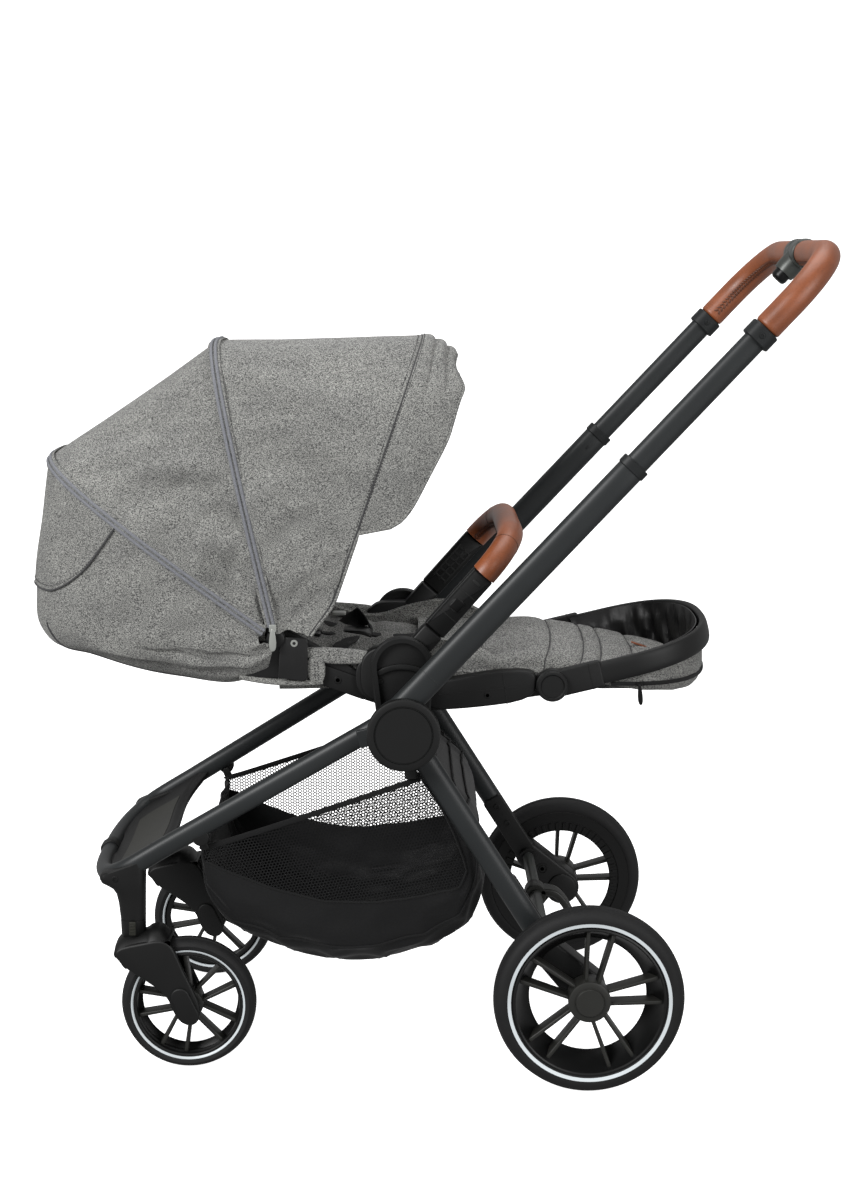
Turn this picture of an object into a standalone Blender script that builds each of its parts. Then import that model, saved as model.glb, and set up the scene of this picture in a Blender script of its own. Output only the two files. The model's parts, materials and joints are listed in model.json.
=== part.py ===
"""Four-wheel folding pushchair: swivel casters, braked rear wheels, telescopic handle, tilting seat
with leg rest, bumper bar and folding canopy, and a basket between the legs.

The front points to -X, the handle to +X, the left side is -Y, and the wheels stand on Z = 0.
Places along the length are given from the fold axis that joins legs and handle."""

import math

import bmesh
import bpy
import numpy as np

# Fits
GAP = 0.0003
PIN_GAP = 0.0003
CUT_OVER = 0.02
SHARP_ANGLE = math.radians(40)

# Fold axis, and the layers that turn on it from the outside inwards
FOLD_X = -0.02915
FOLD_Z = 0.475
CAP_FACE = 0.262
CAP_THICK = 0.0095
CAP_RADIUS = 0.0475
PUSH_THICK = 0.0254
LUG_THICK = 0.0130
LUG_RADIUS = 0.030
FOLD_PIN_RADIUS = 0.008
CAP_CHAMFER = 0.0035

# Push tubes and telescopic handle, along the handle's line
PUSH_ANGLE = math.radians(46.7)
PUSH_OFFSET = 0.023
PUSH_LENGTH = 0.4495
PUSH_DEPTH = 0.036
PUSH_WALL = 0.002
PUSH_LUG_RADIUS = 0.044
PUSH_NECK = 0.012
PUSH_POWER = 2.6
SLEEVE_LENGTH = 0.032
SLEEVE_WALL = 0.0022
SLEEVE_LIP = 0.005
HANDLE_REACH = 0.364
HANDLE_INSIDE = 0.165
HANDLE_DEPTH = PUSH_DEPTH - 2 * PUSH_WALL - 0.0015
HANDLE_THICK = PUSH_THICK - 2 * PUSH_WALL - 0.0011
TUBE_POWER = 2.4
GRIP_DIAMETER = 0.036
GRIP_BEND = 0.085
GRIP_STRAIGHT = 0.0425
GRIP_FLATTEN = 0.94
COLLAR_LENGTH = 0.021
COLLAR_WALL = 0.0038
BUTTON_HOUSING_HALF = 0.032
BUTTON_HOUSING_RADIUS = 0.0192
BUTTON_BOSS_RADIUS = 0.0165
BUTTON_BOSS_LENGTH = 0.036
BUTTON_RADIUS = 0.0115
BUTTON_OUT = 0.0125
BUTTON_TRAVEL = 0.006
BUTTON_SEAT = 0.014
BUTTON_EASE = 0.003

# Front legs, bow and foot plate
LEG_DEPTH = 0.027
LEG_THICK = 0.023
LEG_START = 0.046
NECK_OVERLAP = 0.012
NECK_SHARE = 0.9
FRONT_LEG_SLOPE = math.radians(31.0)
FRONT_LEG_RISE = 0.019
FRONT_LEG_LENGTH = 0.372
FRONT_LEG_INWARDS = 0.02835
FRONT_LEG_TIP = 0.012
FRONT_BOW_REACH = 0.100
FRONT_BOW_STRAIGHT = 0.020
FRONT_BOW_ROUND = 0.72
FOOT_PLATE_START = 0.366
FOOT_PLATE_TIP = 0.006
FOOT_PLATE_THICK = 0.007
FOOT_PLATE_DISH = 0.012
BASKET_HOOK_AT = 0.299
BASKET_HOOK_DROP = 0.038
BASKET_HOOK_WIDTH = 0.018
BASKET_HOOK_THICK = 0.007

# Casters and front wheels
SWIVEL_DX = -0.361
CASTER_INWARDS = 0.005
CASTER_TRAIL = 0.0715
CASTER_CROWN_Z = 0.1835
HOUSING_RADIUS = 0.0155
HOUSING_NECK_Z = 0.226
HOUSING_TOP_LENGTH = 0.056
HOUSING_MID_LENGTH = 0.0448
HOUSING_TOP_WIDTH = 0.036
HOUSING_LEAN = 0.012
HOUSING_FLARE = 0.020
CROWN_CLEAR = 0.0065
CROWN_UNDER = (0.020, 0.004, -0.012)
FORK_CROWN = ((-0.0275, -0.0107), (-0.0178, 0.0), (0.0130, 0.0), (0.0390, 0.0270))
FORK_LINE = ((-0.0190, 0.0980), (0.0073, 0.0225), (0.0160, 0.0010), (0.0130, -0.0150), (-0.0015, -0.0265),
             (-0.0140, -0.0220), (-0.0300, 0.0055), (-0.0595, 0.0390), (-0.0835, 0.0580), (-0.0940, 0.0665))
STEM_RADIUS = 0.007
STEM_LENGTH = 0.050
FRONT_RADIUS = 0.0905
FRONT_TYRE_WIDTH = 0.036
FORK_BLADE = 0.008
FRONT_AXLE_RADIUS = 0.005
LOCK_SIZE = (0.009, 0.0042, 0.019)
LOCK_RISE = 0.0045

# Rear legs, cross tube, brake and rear wheels
REAR_LEG_ANGLE = math.radians(-57.7)
REAR_LEG_END = 0.298
REAR_LEG_DEPTH = 0.030
CROSS_TUBE_AT = 0.352
CROSS_TUBE_RADIUS = 0.0085
REAR_AXLE_DX = 0.241
REAR_RADIUS = 0.125
REAR_TYRE_WIDTH = 0.040
REAR_WHEEL_OUTWARDS = 0.05465
REAR_AXLE_RADIUS = 0.006
AXLE_ARM_RADIUS = 0.0185
AXLE_DRUM_RADIUS = 0.026
PEDAL_Y = 0.018
PEDAL_WIDTH = 0.030
PEDAL_WALL = 0.006
PEDAL_REACH = 0.060
PEDAL_TIP_ANGLE = math.radians(-32)
PEDAL_KNEE_ANGLE = math.radians(2)
PEDAL_KNEE_SHARE = 0.45
PEDAL_RADII = (0.009, 0.0065, 0.005)
SOCKET_WALL = 0.0015
STUB_PAST = 0.006
WHEEL_SIDE_GAP = 0.0035

# Wheel proportions
TYRE_HEIGHT_SHARE = 0.205
RIM_DEPTH = 0.013
RIM_WIDTH_SHARE = 0.80
SPOKE_PAIRS = 5
SPOKE_WIDTH = 0.0065
SPOKE_DEPTH = 0.012
SPOKE_HALF_SPREAD = 0.0170
SPOKE_HUB_SHARE = 0.5
REAR_SPOKE_TURN = math.radians(81)
FRONT_SPOKE_TURN = math.radians(36)
HUB_SHARE = 0.224
HUB_PAST = 0.0008
HUB_FLOOR = 0.008
TYRE_LIP = 0.004
WHEEL_STEPS = 40

# Seat mounts and seat frame
SEAT_DX = -0.002
SEAT_Z = 0.550
MOUNT_RADIUS = 0.041
MOUNT_THICK = 0.013
MOUNT_RISE = 0.004
PIN_ROOT = 0.003
SEAT_PIN_RADIUS = 0.007
SEAT_OUTER = 0.0138
SEAT_INNER = 0.0095
SEAT_PLATE_RADIUS = 0.050
RAIL_DEPTH = 0.030
RAIL_LINE = ((-0.108, 0.556), (-0.045, 0.516), (0.040, 0.503), (0.110, 0.5125))
RAIL_COVER = ((0.030, 0.504), (0.163, 0.5188))
RAIL_COVER_DEPTH = 0.028
LEGREST_DX = 0.195
LEGREST_Z = 0.5243
LEGREST_SLOPE = math.radians(13.5)
LEGREST_LENGTH = 0.226
LEGREST_STRAIGHT = 0.096
LEGREST_DEPTH = 0.030
LEGREST_THICK = 0.0115
LEGREST_SLEEVE = 0.068
LEGREST_EAR = 0.0205
LEGREST_START = 0.010
LEGREST_ROUND = 0.8
SLEEVE_WALL_LEGREST = 0.003
LEGREST_PAD_DEPTH = 0.034
LEGREST_PAD_START = 0.030
LEGREST_PAD_SINK = 0.004
KNOB_RADIUS = 0.0205
KNOB_THICK = 0.005
KNOB_STEM = 0.006
KNOB_TRAVEL = 0.003
KNOB_EASE = 0.0015
KNOB_SHORT = 0.002

# Bumper bar
BUMPER_ANGLE = math.radians(48.4)
BUMPER_SOCKET = 0.062
BUMPER_ARM_END = 0.160
BUMPER_REACH = 0.2255
BUMPER_DEPTH = 0.027
BUMPER_THICK = 0.016
BUMPER_GRIP = 0.032
BUMPER_BEND = 0.060
BUMPER_BUTTON = 0.009
BUMPER_BUTTON_AT = 0.118
BUMPER_BUTTON_TRAVEL = 0.002
BUMPER_BUTTON_SEAT = 0.007
BUMPER_GRIP_FLATTEN = 0.9
SOCKET_DEPTH_MORE = 0.003

# Canopy and back tub
CANOPY_DX = -0.167
CANOPY_Z = 0.588
CANOPY_OUTWARDS = 0.0094
CANOPY_POWER = 3.2
CANOPY_SKIN = 0.003
CANOPY_SPLIT = 0.0018
CANOPY_INSIDE = (-0.20, 0.75)
ARCH_LOWEST = 0.06
FRONT_TOP = (0.026, 0.973)
MID_TOP = (-0.2525, 0.9664)
REAR_TOP = (-0.4765, 0.8136)
FRONT_BASE = (-0.098, 0.600)
TUB_LINE = ((-0.4884, 0.7415), (-0.5021, 0.635), (-0.4995, 0.589), (-0.4830, 0.5665),
            (-0.4389, 0.5534), (-0.3111, 0.5211), (-0.232, 0.5125), (-0.1817, 0.5292))
VISOR_REACH = 0.062
VISOR_LEAST = 0.003
VISOR_SLOPE = math.radians(18)
VISOR_FROM = 0.38
VISOR_OVER = 0.5
BOW_FLAT = 0.0038
BOW_DEPTH = 0.009
BOW_INSET = 0.012
BOW_EYE = 0.012
BOW_NECK = 0.060
BOW_NECK_MORE = 0.003
BOW_PIN_RADIUS = 0.004
RIVET_RADIUS = 0.012
RIVET_THICK = 0.004
RIVET_OVERLAP = 0.001

# Seat pad and basket
PAD_THICK = 0.036
PAD_POWER = 5.0
PAD_TUB_HALF = 0.128
PAD_WIDENS = (-0.217, -0.137)
PAD_LINE = ((-0.440, 0.612), (-0.300, 0.585), (-0.130, 0.572), (-0.010, 0.548), (0.090, 0.546), (0.168, 0.553))
BASKET_FRONT = (-0.268, 0.306)
BASKET_PEAK = (0.016, 0.405)
BASKET_LINE = ((-0.2692, 0.2665), (-0.2465, 0.1895), (-0.180, 0.147), (-0.082, 0.1205), (0.003, 0.129),
               (0.093, 0.176), (0.1135, 0.2467), (0.1104, 0.279), (0.0973, 0.3347))
BASKET_POWER = 5.0
BASKET_CLEAR = 0.0024
BASKET_HEM = 0.006
BASKET_HEM_SHARE = 0.08
BASKET_INSIDE = (-0.08, 0.40)
BASKET_SKIN = 0.003

SIDES = (("left", -1), ("right", 1))
X_AXIS = np.array([1.0, 0.0, 0.0])
Y_AXIS = np.array([0.0, 1.0, 0.0])
Z_AXIS = np.array([0.0, 0.0, 1.0])

# Faces of the layers on the fold axis, as distances from the middle plane
PUSH_FACE = CAP_FACE - CAP_THICK - GAP
FRONT_LUG_FACE = PUSH_FACE - PUSH_THICK - GAP
REAR_LUG_FACE = FRONT_LUG_FACE - LUG_THICK - GAP
MOUNT_FACE = REAR_LUG_FACE - LUG_THICK - GAP
SEAT_FACE = MOUNT_FACE - MOUNT_THICK - GAP
SEAT_SPLIT = SEAT_FACE - SEAT_OUTER
SEAT_INSIDE = SEAT_SPLIT - GAP - SEAT_INNER
PUSH_Y = PUSH_FACE - PUSH_THICK / 2
LEG_Y = (FRONT_LUG_FACE + REAR_LUG_FACE - LUG_THICK) / 2
FRONT_LEG_HALF = LEG_Y - FRONT_LEG_INWARDS
CASTER_Y = FRONT_LEG_HALF - CASTER_INWARDS
REAR_WHEEL_Y = LEG_Y + REAR_WHEEL_OUTWARDS
CANOPY_HALF = SEAT_FACE + CANOPY_OUTWARDS


def spot(dx, z, y=0.0):
    """A point given from the fold axis along the length, by its height and its side distance."""
    return np.array([FOLD_X + dx, y, z])


def heading(angle):
    """The unit vector in the XZ plane at an angle above +X."""
    return np.array([math.cos(angle), 0.0, math.sin(angle)])


FOLD = spot(0.0, FOLD_Z)
SEAT = spot(SEAT_DX, SEAT_Z)
LEGREST = spot(LEGREST_DX, LEGREST_Z)
CANOPY = spot(CANOPY_DX, CANOPY_Z)
REAR_AXLE = spot(REAR_AXLE_DX, REAR_RADIUS)
FRONT_AXLE = spot(SWIVEL_DX + CASTER_TRAIL, FRONT_RADIUS)


def clear_scene():
    for thing in list(bpy.data.objects):
        bpy.data.objects.remove(thing, do_unlink=True)


def finish(name, colour, roughness, metallic=0.0):
    """A plain surface finish with one colour."""
    surface = bpy.data.materials.new(name)
    surface.use_nodes = True
    shader = surface.node_tree.nodes["Principled BSDF"]
    shader.inputs["Base Color"].default_value = (*colour, 1.0)
    shader.inputs["Roughness"].default_value = roughness
    shader.inputs["Metallic"].default_value = metallic
    surface.diffuse_color = (*colour, 1.0)
    return surface


def mesh_of(name, shape):
    """A mesh from points and faces, with its faces turned outwards."""
    points, faces = shape
    mesh = bpy.data.meshes.new(name)
    mesh.from_pydata([tuple(p) for p in points], [], faces)
    work = bmesh.new()
    work.from_mesh(mesh)
    bmesh.ops.recalc_face_normals(work, faces=work.faces)
    work.to_mesh(mesh)
    work.free()
    return mesh


def piece(name, shape, surface, origin=(0.0, 0.0, 0.0)):
    """One named solid whose origin lies at the given point."""
    points, faces = shape
    mesh = mesh_of(name, (np.asarray(points) - np.asarray(origin), faces))
    mesh.materials.append(surface)
    mesh.shade_smooth()
    mesh.set_sharp_from_angle(angle=SHARP_ANGLE)
    thing = bpy.data.objects.new(name, mesh)
    thing.location = origin
    bpy.context.scene.collection.objects.link(thing)
    return thing


def combine(shape, tools, operation):
    """The shape after a union with, or a difference from, each tool in turn."""
    for tool in tools:
        pair = []
        for role, part in (("base", shape), ("tool", tool)):
            thing = bpy.data.objects.new(role, mesh_of(role, part))
            bpy.context.scene.collection.objects.link(thing)
            pair.append(thing)
        change = pair[0].modifiers.new("change", "BOOLEAN")
        change.operation = operation
        change.object = pair[1]
        change.solver = "EXACT"
        result = pair[0].evaluated_get(bpy.context.evaluated_depsgraph_get())
        mesh = result.to_mesh()
        points = np.array([tuple(v.co) for v in mesh.vertices])
        faces = [tuple(p.vertices) for p in mesh.polygons]
        result.to_mesh_clear()
        for thing in pair:
            bpy.data.objects.remove(thing, do_unlink=True)
        shape = (points, faces)
    return shape


def fused(shape, *tools):
    return combine(shape, tools, "UNION")


def cut(shape, *tools):
    return combine(shape, tools, "DIFFERENCE")


def together(*shapes):
    """Several separate shapes as one list of points and faces."""
    points, faces, first = [], [], 0
    for some, polygons in shapes:
        points.append(np.asarray(some))
        faces += [tuple(i + first for i in polygon) for polygon in polygons]
        first += len(some)
    return np.concatenate(points), faces


def loft(rings, wrap=False):
    """Rings of equally many points joined by quads, closed by end faces or, wrapped, onto the first ring."""
    rings = np.asarray(rings)
    rows, count = rings.shape[:2]
    faces = []
    for row in range(rows if wrap else rows - 1):
        here, there = row * count, (row + 1) % rows * count
        for k in range(count):
            after = (k + 1) % count
            faces.append((here + k, here + after, there + after, there + k))
    if not wrap:
        faces.append(tuple(range(count))[::-1])
        faces.append(tuple(range((rows - 1) * count, rows * count)))
    return rings.reshape(-1, 3), faces


def oval(across, along, power=2.0, count=16):
    """A superellipse outline, across its first axis and along its second."""
    turn = np.linspace(0, 2 * math.pi, count, endpoint=False) + math.pi / count
    wave = np.stack([np.cos(turn), np.sin(turn)], axis=1)
    bent = np.sign(wave) * np.abs(wave) ** (2 / power)
    return bent / np.abs(bent).max(axis=0) * (across / 2, along / 2)


def rings_along(path, outlines, normal):
    """Outlines carried along a path: their first axis leans to the normal, their second lies across it."""
    path = np.asarray(path, dtype=float)
    tangent = np.gradient(path, axis=0)
    tangent /= np.linalg.norm(tangent, axis=1)[:, None]
    first = normal - (tangent @ normal)[:, None] * tangent
    first /= np.linalg.norm(first, axis=1)[:, None]
    second = np.cross(tangent, first)
    outlines = np.broadcast_to(outlines, (len(path),) + np.shape(outlines)[-2:])
    return path[:, None] + first[:, None] * outlines[..., :1] + second[:, None] * outlines[..., 1:]


def sweep(path, outlines, normal):
    return loft(rings_along(path, outlines, np.asarray(normal, dtype=float)))


def turned(profile, centre, axis, count=24, ring=False):
    """A profile of (radius, distance along the axis) turned about the axis; a ring's profile is closed."""
    axis = np.asarray(axis, dtype=float)
    across = X_AXIS if abs(axis[0]) < 0.9 else Y_AXIS
    across = across - axis * (across @ axis)
    across /= np.linalg.norm(across)
    side = np.cross(axis, across)
    turn = np.linspace(0, 2 * math.pi, count, endpoint=False)
    wheel = np.cos(turn)[:, None] * across + np.sin(turn)[:, None] * side
    points, starts = [], []
    for radius, along in profile:
        middle = np.asarray(centre) + axis * along
        starts.append((sum(map(len, points)), radius > 0))
        points.append(middle + wheel * radius if radius > 0 else middle[None])
    faces = []
    steps = len(profile) if ring else len(profile) - 1
    for k in range(steps):
        (a, a_round), (b, b_round) = starts[k], starts[(k + 1) % len(profile)]
        for i in range(count):
            j = (i + 1) % count
            if a_round and b_round:
                faces.append((a + i, a + j, b + j, b + i))
            elif a_round:
                faces.append((a + i, a + j, b))
            elif b_round:
                faces.append((a, b + j, b + i))
    return np.concatenate(points), faces


def rod(start, end, radius, count=20):
    """A round bar between two points."""
    start, end = np.asarray(start, dtype=float), np.asarray(end, dtype=float)
    length = np.linalg.norm(end - start)
    profile = [(0, 0), (radius, 0), (radius, length), (0, length)]
    return turned(profile, start, (end - start) / length, count)


def slab(outline, y_from, y_to):
    """A flat outline of (x, z) points given thickness between two side distances."""
    outline = np.asarray(outline, dtype=float)
    rings = [np.stack([outline[:, 0], np.full(len(outline), y), outline[:, 1]], axis=1) for y in (y_from, y_to)]
    return loft(rings)


def circle(centre, radius, count=28):
    turn = np.linspace(0, 2 * math.pi, count, endpoint=False)
    return np.stack([centre[0] + radius * np.cos(turn), centre[2] + radius * np.sin(turn)], axis=1)


def link(start, start_radius, end, end_radius, count=14):
    """The outline of two discs and the straight tangents between them."""
    reach = (end - start)[[0, 2]]
    length = np.linalg.norm(reach)
    facing = math.atan2(reach[1], reach[0])
    lean = math.acos((start_radius - end_radius) / length)
    back = facing + lean + np.linspace(0, 2 * math.pi - 2 * lean, count)
    ahead = facing - lean + np.linspace(0, 2 * lean, count)
    arcs = []
    for centre, radius, turn in ((start, start_radius, back), (end, end_radius, ahead)):
        arcs.append(np.stack([centre[0] + radius * np.cos(turn), centre[2] + radius * np.sin(turn)], axis=1))
    return np.concatenate(arcs)


def bar_outline(start, end, depth):
    """The outline of a straight bar between two points in the XZ plane."""
    along = (end - start)[[0, 2]]
    along = along / np.linalg.norm(along)
    across = np.array([-along[1], along[0]]) * depth / 2
    ends = (start[[0, 2]], end[[0, 2]])
    return np.array([ends[0] + across, ends[0] - across, ends[1] - across, ends[1] + across])


def level(point, y):
    """The same place at another side distance."""
    return np.array([point[0], y, point[2]])


def pin_hole(centre, radius, y_from, y_to):
    """A cutter for the hole that a pin of this radius runs in, right through the layer between two faces."""
    past = math.copysign(CUT_OVER, y_to - y_from)
    return rod(level(centre, y_from - past), level(centre, y_to + past), radius + PIN_GAP)


def push_point(t, offset=PUSH_OFFSET):
    """A point on the handle's line in the middle plane, t along it from the fold axis."""
    return FOLD + heading(PUSH_ANGLE) * t + heading(PUSH_ANGLE + math.pi / 2) * offset


def push_ring(t, side, outline):
    """An outline set square on the handle's line at one side."""
    across = heading(PUSH_ANGLE + math.pi / 2)
    return level(push_point(t), side * PUSH_Y) + Y_AXIS * outline[:, :1] + across * outline[:, 1:]


def front_leg_point(s):
    """A point on the front leg's line in the middle plane, s along it from beside the fold axis."""
    slope = heading(math.pi + FRONT_LEG_SLOPE)
    return FOLD + heading(FRONT_LEG_SLOPE + math.pi / 2) * FRONT_LEG_RISE + slope * s


def front_leg_half(s):
    """The front leg's side distance, which narrows towards the front."""
    share = min(1.0, (s - LEG_START) / (FRONT_LEG_LENGTH - FRONT_LEG_TIP - LEG_START))
    return LEG_Y + (FRONT_LEG_HALF - LEG_Y) * share


def front_leg_path(side):
    points = []
    for s in (LEG_START, FRONT_LEG_LENGTH - FRONT_LEG_TIP, FRONT_LEG_LENGTH):
        points.append(level(front_leg_point(s), side * front_leg_half(s)))
    return np.array(points)


def front_bow_line(start, steps):
    """Half a superellipse after short straight ends: places along the legs' plane and side distances."""
    turn = np.linspace(-math.pi / 2, math.pi / 2, steps)
    first = FRONT_LEG_LENGTH + start
    reach = FRONT_BOW_REACH - FRONT_BOW_STRAIGHT
    ahead = first + FRONT_BOW_STRAIGHT + reach * np.abs(np.cos(turn)) ** FRONT_BOW_ROUND
    half = FRONT_LEG_HALF * np.sign(np.sin(turn)) * np.abs(np.sin(turn)) ** FRONT_BOW_ROUND
    ahead = np.concatenate([[first], ahead, [first]])
    half = np.concatenate([[-FRONT_LEG_HALF], half, [FRONT_LEG_HALF]])
    return ahead, half


def front_bow_path(start=GAP, steps=25):
    """The round front of the frame."""
    ahead, half = front_bow_line(start, steps)
    return np.array([level(front_leg_point(s), y) for s, y in zip(ahead, half)])


def foot_plate_room(steps=161):
    """The inner edge of legs and bow: places along the legs from the tip back, and half the room there."""
    line = np.stack(front_bow_line(GAP, steps), axis=1)[steps // 2 + 1:]
    along = np.gradient(line, axis=0)
    along /= np.linalg.norm(along, axis=1)[:, None]
    inwards = np.stack([-along[:, 1], along[:, 0]], axis=1)
    inwards *= np.sign((inwards * ((FRONT_LEG_LENGTH, 0.0) - line)).sum(axis=1))[:, None]
    return line + inwards * (LEG_THICK / 2 + 2 * GAP)


FRONT_PLANE = heading(math.pi / 2 + FRONT_LEG_SLOPE)


def make_fold_hubs(surface):
    """The round outer hub covers with the fold pins that carry every layer."""
    inner_end = MOUNT_FACE - MOUNT_THICK
    inner_face = CAP_FACE - CAP_THICK
    profile = [(0, CAP_FACE), (CAP_RADIUS - CAP_CHAMFER, CAP_FACE), (CAP_RADIUS, CAP_FACE - CAP_CHAMFER),
               (CAP_RADIUS, inner_face), (FOLD_PIN_RADIUS, inner_face), (FOLD_PIN_RADIUS, inner_end),
               (0, inner_end)]
    for name, side in SIDES:
        hub = turned(profile, FOLD, Y_AXIS * side, 32)
        piece("fold_hub_" + name, hub, surface, level(FOLD, side * CAP_FACE))


def make_push_tubes(surface, plastic):
    """Hollow oval tubes on a round lug, with a guide sleeve on each upper end."""
    neck_end = PUSH_LUG_RADIUS + PUSH_NECK
    outer = oval(PUSH_THICK - 2 * GAP, PUSH_DEPTH, PUSH_POWER)
    bore = oval(PUSH_THICK - 2 * GAP - 2 * PUSH_WALL, PUSH_DEPTH - 2 * PUSH_WALL, PUSH_POWER)
    over = oval(PUSH_THICK + 2 * GAP, PUSH_DEPTH + 4 * GAP, PUSH_POWER)
    wide = oval(PUSH_THICK + 2 * SLEEVE_WALL, PUSH_DEPTH + 2 * SLEEVE_WALL, PUSH_POWER)
    handle = oval(HANDLE_THICK + 4 * GAP, HANDLE_DEPTH + 4 * GAP, TUBE_POWER)
    for name, side in SIDES:
        def at(t):
            return level(push_point(t), side * PUSH_Y)

        lug = slab(circle(FOLD, PUSH_LUG_RADIUS), side * (PUSH_FACE - PUSH_THICK), side * PUSH_FACE)
        tube = sweep([at(0.0), at(PUSH_LENGTH)], outer, Y_AXIS)
        hollow = sweep([at(neck_end), at(PUSH_LENGTH + CUT_OVER)], bore, Y_AXIS)
        hole = pin_hole(FOLD, FOLD_PIN_RADIUS, side * (PUSH_FACE - PUSH_THICK), side * PUSH_FACE)
        piece("push_tube_" + name, cut(fused(lug, tube), hollow, hole), surface, level(FOLD, side * PUSH_Y))
        lip = PUSH_LENGTH + GAP
        top = lip + SLEEVE_LIP
        base = PUSH_LENGTH - SLEEVE_LENGTH
        rings = []
        for t, outline in ((base, wide), (top, wide), (top, handle), (lip, handle), (lip, over), (base, over)):
            rings.append(push_ring(t, side, outline))
        piece("tube_sleeve_" + name, loft(rings, wrap=True), plastic, at(top))


def make_handle(metal, leather, plastic):
    """Telescopic tubes, collars, the two leather grips of the bent bar and the middle button."""
    end = PUSH_LENGTH + HANDLE_REACH
    start = PUSH_LENGTH - HANDLE_INSIDE
    collar_top = end - GRIP_BEND - GRIP_STRAIGHT
    collar_base = collar_top - COLLAR_LENGTH
    tube = oval(HANDLE_THICK, HANDLE_DEPTH, TUBE_POWER)
    bore = oval(HANDLE_THICK + 2 * GAP, HANDLE_DEPTH + 2 * GAP, TUBE_POWER)
    wide = oval(HANDLE_DEPTH + 0.5 * COLLAR_WALL, HANDLE_DEPTH + 2 * COLLAR_WALL, TUBE_POWER)
    round_grip = oval(GRIP_DIAMETER * GRIP_FLATTEN, GRIP_DIAMETER)
    normal = heading(PUSH_ANGLE + math.pi / 2)
    for name, side in SIDES:
        def at(t):
            return level(push_point(t), side * PUSH_Y)

        piece("handle_tube_" + name, sweep([at(start), at(collar_top)], tube, Y_AXIS), metal, at(start))
        rings = []
        for t, outline in ((collar_base, wide), (collar_top, wide), (collar_top, bore), (collar_base, bore)):
            rings.append(push_ring(t, side, outline))
        piece("grip_collar_" + name, loft(rings, wrap=True), plastic, at(collar_base))
        turn = np.linspace(0, math.pi / 2, 9)
        along = end - GRIP_BEND + GRIP_BEND * np.sin(turn)
        half = PUSH_Y - GRIP_BEND + GRIP_BEND * np.cos(turn)
        path = [at(collar_top + GAP)]
        path += [level(push_point(t), side * y) for t, y in zip(along, half)]
        path.append(level(push_point(end), side * (BUTTON_HOUSING_HALF + GAP)))
        piece("handle_grip_" + name, sweep(path, round_grip[:, ::-1], normal), leather, path[0])
    middle = push_point(end)
    down = -heading(PUSH_ANGLE)
    collar_end = Y_AXIS * BUTTON_HOUSING_HALF
    collar = rod(middle - collar_end, middle + collar_end, BUTTON_HOUSING_RADIUS, 24)
    boss = rod(middle, middle + down * BUTTON_BOSS_LENGTH, BUTTON_BOSS_RADIUS, 24)
    depth = BUTTON_SEAT + BUTTON_TRAVEL + 2 * GAP
    floor = BUTTON_BOSS_LENGTH - depth
    outside = BUTTON_BOSS_LENGTH + CUT_OVER
    pocket = rod(middle + down * floor, middle + down * outside, BUTTON_RADIUS + GAP, 24)
    piece("button_housing", cut(fused(collar, boss), pocket), plastic, middle)
    seat = BUTTON_BOSS_LENGTH - BUTTON_SEAT
    tip = BUTTON_BOSS_LENGTH + BUTTON_OUT
    button = turned([(0, seat), (BUTTON_RADIUS, seat), (BUTTON_RADIUS, tip - BUTTON_EASE),
                     (BUTTON_RADIUS - BUTTON_EASE, tip), (0, tip)], middle, down, 24)
    piece("handle_button", button, plastic, middle + down * seat)


def make_front_frame(metal, plastic):
    """Front legs with their lugs and basket hooks, the round bow between them and the foot plate."""
    profile = oval(LEG_THICK, LEG_DEPTH, TUBE_POWER)
    for name, side in SIDES:
        path = front_leg_path(side)
        neck = bar_outline(FOLD, front_leg_point(LEG_START + NECK_OVERLAP), LEG_DEPTH * NECK_SHARE)
        faces = (side * (FRONT_LUG_FACE - LUG_THICK), side * FRONT_LUG_FACE)
        lug = slab(circle(FOLD, LUG_RADIUS), *faces)
        hook_top = level(front_leg_point(BASKET_HOOK_AT), 0.0)
        hook_y = side * front_leg_half(BASKET_HOOK_AT)
        half = BASKET_HOOK_WIDTH / 2
        low = hook_top[2] - BASKET_HOOK_DROP
        corners = [(hook_top[0] - half, low), (hook_top[0] + half, low), (hook_top[0] + half, hook_top[2]),
                   (hook_top[0] - half, hook_top[2])]
        hook = slab(corners, hook_y - BASKET_HOOK_THICK / 2, hook_y + BASKET_HOOK_THICK / 2)
        hole = pin_hole(FOLD, FOLD_PIN_RADIUS, *faces)
        leg = fused(sweep(path, profile, Y_AXIS), slab(neck, *faces), lug, hook)
        piece("front_leg_" + name, cut(leg, hole), metal, level(FOLD, side * LEG_Y))
    bow = sweep(front_bow_path(), profile[:, ::-1], FRONT_PLANE)
    piece("front_bow", bow, metal, front_leg_point(FRONT_LEG_LENGTH))
    top, under = [], []
    room = foot_plate_room()
    places, halves = np.sort(room[:, 0]), room[np.argsort(room[:, 0]), 1]
    stations = np.linspace(FOOT_PLATE_START, places[-1] - FOOT_PLATE_TIP, 10)
    for s in stations:
        half = min(CASTER_Y - HOUSING_TOP_WIDTH / 2 - 2 * GAP, np.interp(s, places, halves))
        across = np.linspace(-1, 1, 9)
        sink = FOOT_PLATE_DISH * (1 - across ** 2)
        middle = front_leg_point(s)
        for rows, drop in ((top, 0.0), (under, FOOT_PLATE_THICK)):
            rows.append(middle + Y_AXIS * (half * across)[:, None] - FRONT_PLANE * (sink + drop)[:, None])
    rings = [np.concatenate([a, b[::-1]]) for a, b in zip(top, under)]
    piece("foot_plate", loft(rings), plastic, front_leg_point(FOOT_PLATE_START))


def fork_outline():
    """The side view of a fork blade, from the crown back to the axle."""
    crown = np.array(FORK_CROWN) + spot(SWIVEL_DX, CASTER_CROWN_Z)[[0, 2]]
    blade = np.array(FORK_LINE) + FRONT_AXLE[[0, 2]]
    return np.concatenate([crown, blade])


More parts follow.
